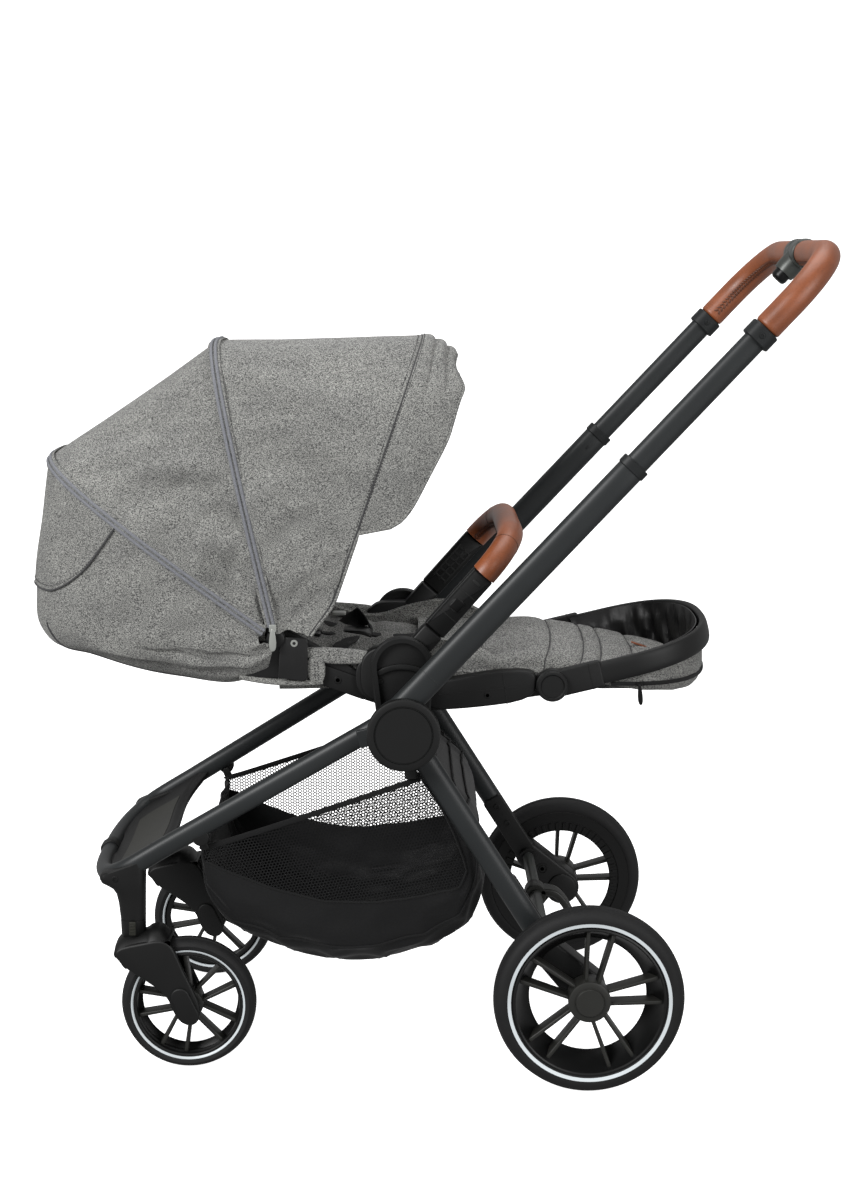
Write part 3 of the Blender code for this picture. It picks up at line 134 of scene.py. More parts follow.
def arc_lengths(rows):
    """Texture coordinates in metres: the distance walked along each grid direction."""
    down = np.linalg.norm(np.diff(rows, axis=0), axis=2).mean(axis=1)
    along = np.linalg.norm(np.diff(rows, axis=1), axis=2)
    u = np.concatenate([[0.0], np.cumsum(down)])[:, None] + np.zeros(rows.shape[1])
    v = np.concatenate([np.zeros((len(rows), 1)), np.cumsum(along, axis=1)], axis=1)
    return np.stack([u, v], axis=2)


def patch(rows, wrap=False, ends=False, ring=False):
    """A grid of points as quads: wrap closes the rows, ring closes the columns, ends caps both ends."""
    rows = np.asarray(rows, dtype=float)
    index = np.arange(rows.shape[0] * rows.shape[1]).reshape(rows.shape[:2])
    caps = [index[0][::-1].tolist(), index[-1].tolist()] if ends else []
    uv = arc_lengths(rows).reshape(-1, 2)
    if wrap:
        index = np.concatenate([index, index[:, :1]], axis=1)
    if ring:
        index = np.concatenate([index, index[:1]], axis=0)
    corners = [index[:-1, :-1], index[:-1, 1:], index[1:, 1:], index[1:, :-1]]
    quads = np.stack(corners, axis=2).reshape(-1, 4)
    return rows.reshape(-1, 3), quads.tolist() + caps, uv


def together(shapes):
    """Several shapes as one list of points, faces and texture coordinates."""
    points, faces, uvs, first = [], [], [], 0
    for some, polygons, uv in shapes:
        points.append(some)
        uvs.append(uv)
        faces += [[i + first for i in polygon] for polygon in polygons]
        first += len(some)
    return np.concatenate(points), faces, np.concatenate(uvs)


def oval(across, along, power=2.0, count=40):
    """A superellipse outline: |x/a|^n + |y/b|^n = 1."""
    turn = np.linspace(0, 2 * math.pi, count, endpoint=False)
    wave = np.stack([np.cos(turn), np.sin(turn)], axis=1)
    return np.sign(wave) * np.abs(wave) ** (2 / power) * (across / 2, along / 2)


def swept(path, outline, normal, ends=True):
    """A profile carried along a path: its first axis leans to the normal and its second lies across both."""
    path = np.asarray(path, dtype=float)
    tangent = unit(np.gradient(path, axis=0))
    normal = np.broadcast_to(normal, path.shape)
    first = unit(normal - (tangent * normal).sum(axis=1)[:, None] * tangent)
    second = np.cross(tangent, first)
    outline = np.broadcast_to(outline, (len(path),) + np.shape(outline)[-2:])
    rings = path[:, None] + first[:, None] * outline[..., :1] + second[:, None] * outline[..., 1:]
    return patch(rings, wrap=True, ends=ends)


def rounded_bar(path, across, along, normal, power=2.4, soft=0.002, count=40):
    """A bar with eased ends: its profile shrinks on a quarter circle over the last bit of the path."""
    path = np.asarray(path, dtype=float)
    turn = np.linspace(0, math.pi / 2, 5)
    back, fore = unit(path[0] - path[1]), unit(path[-1] - path[-2])
    ease_in = path[0] + back * (soft * np.cos(turn[:-1]) - soft)[:, None]
    ease_out = path[-1] + fore * (soft * np.sin(turn[1:]) - soft)[:, None]
    route = np.concatenate([ease_in, [path[0] - back * soft], path[1:-1], [path[-1] - fore * soft],
            ease_out])
    shrink_in = soft * (1 - np.sin(turn[:-1]))
    shrink_out = soft * (1 - np.cos(turn[1:]))
    shrink = np.concatenate([shrink_in, np.zeros(len(path)), shrink_out])
    outlines = np.stack([oval(across - 2 * s, along - 2 * s, power, count) for s in shrink])
    return swept(route, outlines, normal)


def turned(profile, centre, axis, steps=72, ring=False):
    """A profile of (radius, distance along the axis) turned about the axis through the centre."""
    profile = np.asarray(profile, dtype=float)
    axis = np.asarray(axis, dtype=float)
    across = X if abs(axis[0]) < 0.9 else Y
    across = unit(across - axis * (across @ axis))
    turn = np.linspace(0, 2 * math.pi, steps, endpoint=False)
    wheel = np.cos(turn)[:, None] * across + np.sin(turn)[:, None] * np.cross(axis, across)
    rows = centre + profile[:, :1, None] * wheel[None] + (profile[:, 1:] * axis)[:, None]
    return patch(rows, wrap=True, ends=not ring, ring=ring)


def rod(start, end, radius, soft=0.0006, steps=32):
    """A round bar between two points with eased edges."""
    start, end = np.asarray(start, dtype=float), np.asarray(end, dtype=float)
    length = np.linalg.norm(end - start)
    profile = [(radius - soft, 0), (radius, soft), (radius, length - soft), (radius - soft, length)]
    return turned(profile, start, (end - start) / length, steps)


def inset(outline, distance):
    """A closed outline moved inwards along the mean of its neighbouring edges' normals."""
    ahead = np.roll(outline, -1, axis=0) - outline
    ahead /= np.maximum(np.linalg.norm(ahead, axis=1), 1e-9)[:, None]
    behind = np.roll(ahead, 1, axis=0)
    area = np.sum(outline[:, 0] * np.roll(outline[:, 1], -1) - np.roll(outline[:, 0], -1) * outline[:, 1])
    sense = np.sign(area)
    normal = np.stack([-(ahead + behind)[:, 1], (ahead + behind)[:, 0]], axis=1) * sense
    size = np.maximum(np.linalg.norm(normal, axis=1), 0.8)[:, None]
    return outline + normal / size * 2 / size * distance


def plate(outline, y_from, y_to, edge=0.0015, steps=4):
    """A flat outline given thickness, with its edges rounded on a quarter circle."""
    outline = np.asarray(outline, dtype=float)
    low, high = min(y_from, y_to), max(y_from, y_to)
    turn = np.linspace(0, math.pi / 2, steps)
    insets = np.concatenate([edge * (1 - np.sin(turn)), edge * (1 - np.cos(turn))])
    levels = np.concatenate([low + edge * (1 - np.cos(turn)), high - edge * (1 - np.sin(turn))])
    rows = []
    for gap, y in zip(insets, levels):
        ring = inset(outline, gap)
        rows.append(np.stack([ring[:, 0], np.full(len(ring), y), ring[:, 1]], axis=1))
    return patch(rows, wrap=True, ends=True)


def arc(centre, radius, start, end, count=20):
    """Points of a circle's arc in the XZ plane."""
    turn = np.linspace(start, end, count)
    return np.stack([centre[0] + radius * np.cos(turn), centre[2] + radius * np.sin(turn)], axis=1)


def disc(centre, radius, count=56):
    """A closed circle in the XZ plane."""
    return arc(centre, radius, 0, 2 * math.pi * (1 - 1 / count), count)


def link(start, start_radius, end, end_radius, count=22):
    """The outline of two discs and the straight tangents between them."""
    reach = flat(end) - flat(start)
    facing = math.atan2(reach[1], reach[0])
    lean = math.acos((start_radius - end_radius) / np.linalg.norm(reach))
    back = arc(start, start_radius, facing + lean, facing + 2 * math.pi - lean, count)
    return np.concatenate([back, arc(end, end_radius, facing - lean, facing + lean, count)])


def bar(start, end, depth, corner=0.003):
    """The outline of a straight bar between two points, with small round corners."""
    along = flat(end) - flat(start)
    length = np.linalg.norm(along)
    along /= length
    across = np.array([-along[1], along[0]])
    turn = np.linspace(0, math.pi / 2, 5)
    points = []
    for k, (sx, sy) in enumerate(((1, 1), (-1, 1), (-1, -1), (1, -1))):
        a = turn + k * math.pi / 2
        middle = np.array([sx * (length / 2 - corner), sy * (depth / 2 - corner)])
        points.append(middle + corner * np.stack([np.cos(a), np.sin(a)], axis=1))
    local = np.concatenate(points)
    return (flat(start) + flat(end)) / 2 + local[:, :1] * along + local[:, 1:] * across


def eased(outline, rounds=3):
    """A closed outline with its corners cut a quarter at a time until they are round."""
    outline = np.asarray(outline, dtype=float)
    for _ in range(rounds):
        after = np.roll(outline, -1, axis=0)
        outline = np.stack([outline * 0.75 + after * 0.25, outline * 0.25 + after * 0.75],
            axis=1).reshape(-1, 2)
    return outline


def side_shape(places, rounds=2):
    """A side outline with eased corners through places given as (distance behind the fold axis, height)."""
    return eased([flat(at(dx, z)) for dx, z in places], rounds)


def through(places, count):
    """A smooth line through places given as (distance behind the fold axis, height, side distance)."""
    return curve([at(*place) for place in places], count)


def curve(points, count):
    """A smooth line through points: cubic pieces whose slopes come from each point's neighbours."""
    points = np.asarray(points, dtype=float)
    knots = distances(points)
    slopes = np.gradient(points, knots, axis=0)
    t = np.linspace(0, knots[-1], count)
    k = np.clip(np.searchsorted(knots, t, side="right") - 1, 0, len(knots) - 2)
    span = (knots[k + 1] - knots[k])[:, None]
    s = ((t - knots[k])[:, None]) / span
    return ((2 * s ** 3 - 3 * s ** 2 + 1) * points[k] + (s ** 3 - 2 * s ** 2 + s) * span * slopes[k]
        + (3 * s ** 2 - 2 * s ** 3) * points[k + 1] + (s ** 3 - s ** 2) * span * slopes[k + 1])


def ribbon(path, depth):
    """The outline around a line in the XZ plane: both sides at half the depth, with round ends."""
    line = flat(path)
    along = unit(np.gradient(line, axis=0))
    across = np.stack([-along[:, 1], along[:, 0]], axis=1) * depth / 2
    turn = np.linspace(0, math.pi, 12)[1:-1, None]
    tail = line[-1] + across[-1] * np.cos(turn) + along[-1] * depth / 2 * np.sin(turn)
    nose = line[0] - across[0] * np.cos(turn) - along[0] * depth / 2 * np.sin(turn)
    return np.concatenate([line + across, tail, (line - across)[::-1], nose])


def cloth(rows, thickness, centre):
    """A sheet with two faces: the grid, the grid moved inwards along its normals, and a closed edge."""
    rows = np.asarray(rows, dtype=float)
    normal = np.cross(np.gradient(rows, axis=0), np.gradient(rows, axis=1))
    normal /= np.maximum(np.linalg.norm(normal, axis=2), 1e-12)[..., None]
    sign = np.sign((normal * (centre - rows)).sum(axis=2).mean())
    under = rows + normal * sign * thickness
    count = rows.shape[0] * rows.shape[1]
    top, low = patch(rows), patch(under)
    index = np.arange(count).reshape(rows.shape[:2])
    border = np.concatenate([index[0], index[1:, -1], index[-1, -2::-1], index[-2:0:-1, 0]])
    after = np.roll(border, -1)
    rim = np.stack([border, after, after + count, border + count], axis=1).tolist()
    faces = top[1] + [[i + count for i in f[::-1]] for f in low[1]] + rim
    return np.concatenate([top[0], low[0]]), faces, np.concatenate([top[2], top[2]])


def ripple(u, v, waves):
    """A sum of sine waves over a grid, each given as (height, waves along u, waves along v, phase)."""
    total = np.zeros(np.broadcast(u, v).shape)
    for height, along_u, along_v, phase in waves:
        total += height * np.sin(2 * math.pi * (along_u * u + along_v * v) + phase)
    return total


def ease(t):
    """A smooth step from 0 to 1."""
    t = np.clip(t, 0, 1)
    return t * t * (3 - 2 * t)


def hollow(outline, width, y_from, y_to, edge=0.0012):
    """A flat frame: an outline and the same outline moved inwards, joined into a ring with eased edges."""
    low, high = min(y_from, y_to), max(y_from, y_to)
    stages = ((edge, low), (0.0, low + edge), (0.0, high - edge), (edge, high), (width - edge, high),
        (width, high - edge), (width, low))
    rows = []
    for gap, y in stages:
        ring = inset(np.asarray(outline, dtype=float), gap)
        rows.append(np.stack([ring[:, 0], np.full(len(ring), y), ring[:, 1]], axis=1))
    return patch(rows, wrap=True, ring=True)


def lifted(rows, inside, height):
    """Points moved straight away from a place inside the cloth, by a height."""
    away = rows - inside
    return rows + unit(away) * height


def beads(spots, along, across, out, reach, thick, blunt, rings, sides):
    """Small closed beads on spots: ovals whose size follows the square root of 1 - t^2 from end to end."""
    t = np.linspace(-1, 1, rings)
    swell = np.sqrt(np.maximum(blunt, 1 - t ** 2))[:, None]
    ring = oval(2.0, 2.0, 2.0, sides)
    rows = (spots[:, None, None] + along[:, None, None] * (t * reach)[None, :, None, None]
        + across[:, None, None] * (swell * thick[0] * ring[:, 0])[None, :, :, None]
        + out[:, None, None] * (swell * thick[1] * ring[:, 1])[None, :, :, None])
    return [patch(bead, wrap=True, ends=True) for bead in rows]


def stitches(path, normal, radius, sense, pitch):
    """Lacing along the inner side of a bent grip: short slanted beads in two rows, even along the path."""
    path = np.asarray(path)
    length = distances(path)
    even = np.arange(0.012, length[-1] - 0.008, pitch)
    spots = np.stack([np.interp(even, length, path[:, k]) for k in range(3)], axis=1)
    tangent = unit(np.gradient(spots, axis=0))
    side = unit(np.cross(tangent, normal))
    side *= sense
    shapes = []
    for lean in (-1, 1):
        facing = side * math.cos(0.14 * lean) - normal * math.sin(0.14 * lean)
        base = spots + facing * radius
        along = unit(tangent * 0.8 + normal * (0.6 * lean))
        across = np.cross(facing, along)
        shapes += beads(base, along, across, facing, 0.0034, (0.0016, 0.00112), 0.06, 5, 6)
    return shapes


def topstitch(line, facing, pitch=0.0042, length=0.0026, width=0.0007):
    """A row of sewn stitches: small beads laid along a line, even in pitch, half sunk in the cloth."""
    line, facing = np.asarray(line), np.broadcast_to(facing, np.shape(line))
    walked = distances(line)
    even = np.arange(pitch / 2, walked[-1], pitch)
    spots = np.stack([np.interp(even, walked, line[:, k]) for k in range(3)], axis=1)
    out = unit(np.stack([np.interp(even, walked, facing[:, k]) for k in range(3)], axis=1))
    along = unit(np.gradient(spots, axis=0))
    across = np.cross(out, along)
    return beads(spots, along, across, out, length / 2, (width, width), 0.1, 4, 5)


# Objects

# The finishes whose edges are soft
SOFT_FINISHES = ("cloth", "thread", "piping", "strap", "lining", "leather", "lace", "basket", "net")


def piece(name, shapes, finish, body, stands_for=(), slot=None, sharp=None, between=None):
    """One object from shapes: faces turned out, smooth but for sharp edges, carried by a body."""
    points, faces, uv = together(shapes)
    mesh = bpy.data.meshes.new(name)
    mesh.from_pydata(points, [], faces)
    work = bmesh.new()
    work.from_mesh(mesh)
    bmesh.ops.recalc_face_normals(work, faces=work.faces)
    work.to_mesh(mesh)
    work.free()
    corners = np.empty(len(mesh.loops), dtype=np.int32)
    mesh.loops.foreach_get("vertex_index", corners)
    mesh.uv_layers.new(name="UVMap").data.foreach_set("uv", uv[corners].astype(np.float32).ravel())
    rest = mesh.attributes.new("rest", "FLOAT_VECTOR", "POINT")
    rest.data.foreach_set("vector", np.asarray(points, dtype=np.float32).ravel())
    mesh.shade_smooth()
    usual = SOFT_EDGE if finish in SOFT_FINISHES else HARD_EDGE
    mesh.set_sharp_from_angle(angle=math.radians(sharp or usual))
    mesh.materials.append(finishes()[finish])
    thing = bpy.data.objects.new(name, mesh)
    bpy.context.scene.collection.objects.link(thing)
    if between:
        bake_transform(thing)
    else:
        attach(thing, body)
    if stands_for:
        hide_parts(*stands_for)
    return thing


def skin(node, side, shapes, finish, body, **rest):
    """A piece that takes the place and the name of one CAD node."""
    tail = "_" + side if side else ""
    return piece(node + "_skin" + tail, shapes, finish, body, [node + tail], **rest)


def declare_sheet(rows):
    """Tells the cut size of a cloth piece from its grid: its longest row, its longest column and its area."""
    rows = np.asarray(rows)


def plumped(name, shape, finish, body, stands_for, voxel=0.0055, cap=0.005, pressure=4.0, frames=14):
    """A stuffed cushion: the closed shape remeshed, blown up as cloth, held within a cap and smoothed."""
    points, faces, _ = shape
    mesh = bpy.data.meshes.new(name + "_form")
    mesh.from_pydata(points, [], faces)
    work = bmesh.new()
    work.from_mesh(mesh)
    bmesh.ops.recalc_face_normals(work, faces=work.faces)
    work.to_mesh(mesh)
    work.free()
    form = bpy.data.objects.new(name + "_form", mesh)
    bpy.context.scene.collection.objects.link(form)
    remesh = form.modifiers.new("even", "REMESH")
    remesh.mode = "VOXEL"
    remesh.voxel_size = voxel
    graph = bpy.context.evaluated_depsgraph_get()
    even = bpy.data.meshes.new_from_object(form.evaluated_get(graph))
    bpy.data.objects.remove(form, do_unlink=True)
    rest = np.empty(len(even.vertices) * 3)
    even.vertices.foreach_get("co", rest)
    rest = rest.reshape(-1, 3)
    moved = rest
    soft = bpy.data.objects.new(name + "_soft", even)
    bpy.context.scene.collection.objects.link(soft)
    blow = soft.modifiers.new("blow", "CLOTH")
    blow.settings.use_pressure = True
    blow.settings.uniform_pressure_force = pressure
    blow.settings.effector_weights.gravity = 0.0
    blow.settings.quality = 4
    scene = bpy.context.scene
    for step in range(1, frames + 1):
        scene.frame_set(step)
    graph = bpy.context.evaluated_depsgraph_get()
    shown = soft.evaluated_get(graph).to_mesh()
    moved = np.empty(len(shown.vertices) * 3)
    shown.vertices.foreach_get("co", moved)
    moved = moved.reshape(-1, 3)
    soft.evaluated_get(graph).to_mesh_clear()
    bpy.data.objects.remove(soft, do_unlink=True)
    scene.frame_set(1)
    swell = moved - rest
    size = np.maximum(np.linalg.norm(swell, axis=1), 1e-9)[:, None]
    result = rest + swell / size * np.minimum(size, cap)
    polygons = [list(p.vertices) for p in even.polygons]
    uv = np.stack([result[:, 0], result[:, 1]], axis=1)
    return piece(name, [(result, polygons, uv)], finish, body, stands_for, sharp=PLUMP_EDGE)


# Finishes


class Finish:
    """A procedural surface: a shader with helpers that add and join nodes."""

    def __init__(self, name, colour, roughness, metallic=0.0, **sockets):
        self.material = bpy.data.materials.new(name)
        self.material.use_nodes = True
        self.tree = self.material.node_tree
        self.shader = self.tree.nodes["Principled BSDF"]
        self.shader.inputs["Base Color"].default_value = (*colour, 1)
        self.shader.inputs["Roughness"].default_value = roughness
        self.shader.inputs["Metallic"].default_value = metallic
        for socket, value in sockets.items():
            self.shader.inputs[socket.replace("_", " ")].default_value = value
        rest = self.add("ShaderNodeAttribute", attribute_name="rest")
        places = self.add("ShaderNodeTexCoord").outputs
        self.place = {"UV": places["UV"], "Object": places["Object"], "rest": rest.outputs["Vector"]}

    def add(self, kind, **settings):
        """Adds a node with its settings."""
        node = self.tree.nodes.new(kind)
        for key, value in settings.items():
            setattr(node, key, value)
        return node

    def join(self, source, target):
        """Links two sockets."""
        self.tree.links.new(source, target)

    def mapped(self, coordinate, scale):
        """A coordinate stretched by a scale on each axis."""
        node = self.add("ShaderNodeMapping")
        node.inputs["Scale"].default_value = scale
        self.join(self.place[coordinate], node.inputs["Vector"])
        return node.outputs["Vector"]

    def noise(self, vector, scale, detail=2.0, rough=0.5):
        """Cloudy noise over a coordinate."""
        node = self.add("ShaderNodeTexNoise")
        node.inputs["Scale"].default_value = scale
        node.inputs["Detail"].default_value = detail
        node.inputs["Roughness"].default_value = rough
        self.join(vector, node.inputs["Vector"])
        return node.outputs["Fac"]

    def ramp(self, value, stops):
        """A value turned into colours at the given stops."""
        node = self.add("ShaderNodeValToRGB")
        marks = node.color_ramp.elements
        while len(marks) < len(stops):
            marks.new(0.5)
        for stop, (place, colour) in zip(marks, stops):
            stop.position = place
            stop.color = (*colour, 1)
        self.join(value, node.inputs["Fac"])
        return node.outputs["Color"]

    def math(self, operation, a, b):
        """One sum on two values or sockets."""
        node = self.add("ShaderNodeMath", operation=operation)
        for socket, value in zip(node.inputs, (a, b)):
            if isinstance(value, (int, float)):
                socket.default_value = value
            else:
                self.join(value, socket)
        return node.outputs["Value"]

    def mix(self, factor, a, b, blend="MIX"):
        """Two colours mixed by a factor."""
        node = self.add("ShaderNodeMix", data_type="RGBA", blend_type=blend)
        for socket, value in ((node.inputs[0], factor), (node.inputs[6], a), (node.inputs[7], b)):
            if isinstance(value, (int, float)):
                socket.default_value = value
            elif isinstance(value, tuple):
                socket.default_value = (*value, 1)
            else:
                self.join(value, socket)
        return node.outputs[2]

    def colour(self, socket):
        """Gives the shader its colour."""
        self.join(socket, self.shader.inputs["Base Color"])

    def rough(self, value, low, high):
        """Gives the shader a roughness between two limits."""
        node = self.add("ShaderNodeMapRange")
        node.inputs["To Min"].default_value = low
        node.inputs["To Max"].default_value = high
        self.join(value, node.inputs["Value"])
        self.join(node.outputs["Result"], self.shader.inputs["Roughness"])

    def bump(self, height, strength, distance):
        """Gives the shader a fine relief."""
        node = self.add("ShaderNodeBump")
        node.inputs["Strength"].default_value = strength
        node.inputs["Distance"].default_value = distance
        self.join(height, node.inputs["Height"])
        self.join(node.outputs["Normal"], self.shader.inputs["Normal"])


def shade(colour, factor):
    """A colour made darker or lighter by a factor."""
    return tuple(min(1.0, c * factor) for c in colour)


def moulded(name, colour, roughness, grain=1400.0, strength=0.12, metallic=0.0, **sockets):
    """Moulded or coated surface: a fine grain in its relief and gloss, and faint cloudiness in its colour."""
    f = Finish(name, colour, roughness, metallic, **sockets)
    fine = f.noise(f.place["Object"], grain, 3.0)
    broad = f.noise(f.place["Object"], 9.0, 3.0)
    f.colour(f.ramp(broad, ((0.3, shade(colour, 0.86)), (0.7, shade(colour, 1.16)))))
    f.rough(fine, roughness - 0.06, roughness + 0.07)
    f.bump(fine, strength, 0.0004)
    return f.material


def heather(name, dark, light, pitch):
    """Woven heather: short slubby threads of two greys in two directions, with a mottle and a fine relief."""
    f = Finish(name, light, 0.95, Sheen_Weight=0.12, Sheen_Roughness=0.5, Specular_IOR_Level=0.2)
    weft = f.noise(f.mapped("rest", (0.3, 0.12, 1.0)), 1.4 / pitch, 1.0, 0.6)
    warp = f.noise(f.mapped("rest", (1.0, 0.12, 0.35)), 1.3 / pitch, 1.0, 0.6)
    both = f.math("ADD", f.math("MULTIPLY", weft, 0.6), f.math("MULTIPLY", warp, 0.4))
    middle = tuple(a * 0.5 + b * 0.5 for a, b in zip(dark, light))
    threads = f.ramp(both, ((0.42, dark), (0.5, middle), (0.58, light)))
    broad = f.noise(f.mapped("rest", (0.4, 1.0, 1.0)), 26.0, 4.0, 0.6)
    soft = f.ramp(broad, ((0.3, (0.9, 0.9, 0.89)), (0.7, (1.15, 1.15, 1.12))))
    f.colour(f.mix(1.0, threads, soft, "MULTIPLY"))
    f.bump(both, 0.8, 0.0008)
    return f.material


def hide(name, colour, roughness, coat=0.06):
    """Smooth leather: pebbled grain between cells, darker in the pores, with a soft coat."""
    f = Finish(name, colour, roughness, Coat_Weight=coat, Coat_Roughness=0.4, Specular_IOR_Level=0.4)
    cells = f.add("ShaderNodeTexVoronoi", feature="DISTANCE_TO_EDGE")
    cells.inputs["Scale"].default_value = 620.0
    f.join(f.place["Object"], cells.inputs["Vector"])
    broad = f.noise(f.place["Object"], 26.0, 4.0)
    tone = f.ramp(broad, ((0.28, shade(colour, 0.78)), (0.72, shade(colour, 1.18))))
    pores = f.ramp(cells.outputs["Distance"], ((0.0, (0.66, 0.62, 0.6)), (0.12, (1, 1, 1))))
    f.colour(f.mix(1.0, tone, pores, "MULTIPLY"))
    f.rough(broad, roughness - 0.07, roughness + 0.1)
    f.bump(f.math("MINIMUM", cells.outputs["Distance"], 0.2), 0.35, 0.0006)
    return f.material


def webbing(name, colour, pitch=0.0016, roughness=0.82):
    """Woven band: ribs across it with a slight mottle."""
    f = Finish(name, colour, roughness, Sheen_Weight=0.06, Specular_IOR_Level=0.25)
    wave = f.add("ShaderNodeTexWave", bands_direction="X")
    wave.inputs["Scale"].default_value = 0.5 / pitch
    f.join(f.place["UV"], wave.inputs["Vector"])
    grain = f.noise(f.place["UV"], 600.0, 2.0)
    f.colour(f.ramp(grain, ((0.3, shade(colour, 0.7)), (0.7, shade(colour, 1.4)))))
    f.bump(f.math("ADD", wave.outputs["Fac"], grain), 0.5, 0.0005)
    return f.material


def net(name, colour, pitch):
    """Open net: threads around the cells of a honeycomb-like lattice, clear in each cell."""
    f = Finish(name, colour, 0.7, Specular_IOR_Level=0.2)
    parts = f.add("ShaderNodeSeparateXYZ")
    f.join(f.place["UV"], parts.inputs["Vector"])
    waves = []
    for along_u, along_v in ((1.0, 0.0), (0.5, 0.866), (0.5, -0.866)):
        slant = f.math("ADD", f.math("MULTIPLY", parts.outputs["X"], along_u),
            f.math("MULTIPLY", parts.outputs["Y"], along_v))
        waves.append(f.math("COSINE", f.math("MULTIPLY", slant, 2 * math.pi / (pitch * 0.866)), 0.0))
    total = f.math("ADD", waves[0], f.math("ADD", waves[1], waves[2]))
    f.join(f.math("LESS_THAN", total, -0.5), f.shader.inputs["Alpha"])
    f.colour(f.ramp(f.noise(f.place["UV"], 300.0), ((0.3, shade(colour, 0.7)), (0.7, shade(colour, 1.4)))))
    return f.material


def tyre_rubber(name, colour):
    """Tyre rubber: dusty mottle over a fine grain."""
    f = Finish(name, colour, 0.7, Specular_IOR_Level=0.3)
    broad = f.noise(f.place["Object"], 40.0, 4.0)
    fine = f.noise(f.place["Object"], 1800.0, 2.0)
    f.colour(f.ramp(broad, ((0.3, shade(colour, 0.8)), (0.75, shade(colour, 1.45)))))
    f.rough(broad, 0.6, 0.78)
    f.bump(fine, 0.2, 0.0004)
    return f.material


# Finishes that have been made, by name
MADE = {}


def finishes():
    """All finishes, made once from the colours in the panel."""
    if not MADE:
        c = bpy.context.scene.pushchair_colours
        s = bpy.context.scene.pushchair_sizes
        tube, black, grey = tuple(c.tube), tuple(c.plastic), tuple(c.grey)
        dull = {"Specular_IOR_Level": 0.32}
        MADE.update(
            tube=moulded("satin_tube", tube, 0.42, 2200.0, 0.05, 0.0, Specular_IOR_Level=0.3),
            dark_tube=moulded("dark_tube", shade(tube, 0.62), 0.45, 2200.0, 0.05, 0.0,
                Specular_IOR_Level=0.25),
            plastic=moulded("black_plastic", black, 0.5, 1500.0, 0.14, **dull),
            gloss=moulded("smooth_plastic", black, 0.34, 900.0, 0.04, Specular_IOR_Level=0.25),
            # Lighter than the black plastic; only the bumper arms' raised lines take it, as painted edge
            # highlights.
            grey=moulded("grey_plastic", grey, 0.45, 1500.0, 0.12, Specular_IOR_Level=0.35),
            rim=moulded("rim_plastic", black, 0.4, 1200.0, 0.07, **dull),
            spoke=moulded("spoke_plastic", (0.016, 0.016, 0.0142), 0.42, 1200.0, 0.07,
                Specular_IOR_Level=0.35),
            olive=moulded("olive_plastic", (0.017, 0.017, 0.0135), 0.42, 1500.0, 0.08,
                Specular_IOR_Level=0.25),
            steel=moulded("satin_steel", (0.42, 0.42, 0.4), 0.32, 500.0, 0.05, 0.95),
            ring=moulded("reflective_ring", tuple(c.ring), 0.38, 700.0, 0.05),
            leather=hide("tan_leather", tuple(c.leather), 0.38, 0.2),
            lace=hide("dark_lace", shade(tuple(c.leather), 0.42), 0.5),
            lining=hide("black_leatherette", (0.0035, 0.0035, 0.0037), 0.36, 0.12),
            cloth=heather("grey_heather", tuple(c.cloth_dark), tuple(c.cloth_light), s.weave),
            piping=webbing("grey_piping", tuple(c.piping)),
            strap=webbing("black_webbing", (0.0034, 0.0034, 0.0037)),
            basket=webbing("basket_cloth", (0.0032, 0.0033, 0.0036), 0.0022, 0.52),
            net=net("basket_net", (0.005, 0.005, 0.0053), s.net_pitch),
            rubber=tyre_rubber("tyre_rubber", (0.0055, 0.0055, 0.0058)),
            thread=webbing("stitch_thread", (0.045, 0.045, 0.046)),
            satin=moulded("satin_grey", (0.045, 0.049, 0.045), 0.36, 900.0, 0.04, 0.35),
            chrome=moulded("bright_fitting", (0.35, 0.36, 0.34), 0.35, 700.0, 0.04, 0.6),
        )
    return MADE


# Lines of the frame


def push_point(t, y=0.0):
    """A point on a push tube's middle line, at a distance from the fold axis along its slope."""
    return shifted(FOLD + heading(PUSH_ANGLE) * t + heading(PUSH_ANGLE + math.pi / 2) * PUSH_OFFSET, y)


LEG_PLANE = heading(math.pi / 2 + LEG_SLOPE)


def leg_point(s, y=0.0):
    """A point in the front legs' sloping plane, at a distance ahead of the fold axis."""
    return shifted(FOLD + LEG_PLANE * LEG_RISE + heading(math.pi + LEG_SLOPE) * s, y)


def leg_half(s):
    """A front leg's side distance, which runs in a straight line from the fold axis to the bow."""
    share = np.minimum(1.0, (s - LEG_START) / (LEG_END - LEG_TIP - LEG_START))
    return LEG_Y + (BOW_HALF - LEG_Y) * share


def bow_path(count=121, straight=0.02):
    """Half a superellipse in the legs' sloping plane, with a short straight start at each leg."""
    turn = np.linspace(-math.pi / 2, math.pi / 2, count)
    ahead = LEG_END + straight + (BOW_REACH - straight) * np.abs(np.cos(turn)) ** 0.72
    half = BOW_HALF * np.sign(np.sin(turn)) * np.abs(np.sin(turn)) ** 0.72
    ahead = np.concatenate([[LEG_END - 0.001], ahead, [LEG_END - 0.001]])
    half = np.concatenate([[-BOW_HALF], half, [BOW_HALF]])
    return leg_point(0.0) + heading(math.pi + LEG_SLOPE) * ahead[:, None] + Y * half[:, None]


def rest_path(half, start, reach=0.226, straight=0.096, count=61):
    """The leg rest's bar: straight sides closed by half a superellipse in its own sloping plane."""
    turn = np.linspace(-math.pi / 2, math.pi / 2, count)
    ahead = straight + (reach - straight) * np.abs(np.cos(turn)) ** 0.8
    y = half * np.sign(np.sin(turn)) * np.abs(np.sin(turn)) ** 0.8
    lead = np.linspace(start, straight * 0.9, 6)
    ahead = np.concatenate([lead, ahead, lead[::-1]])
    y = np.concatenate([np.full(6, -half), y, np.full(6, half)])
    return LEGREST + heading(REST_SLOPE) * ahead[:, None] + Y * y[:, None]


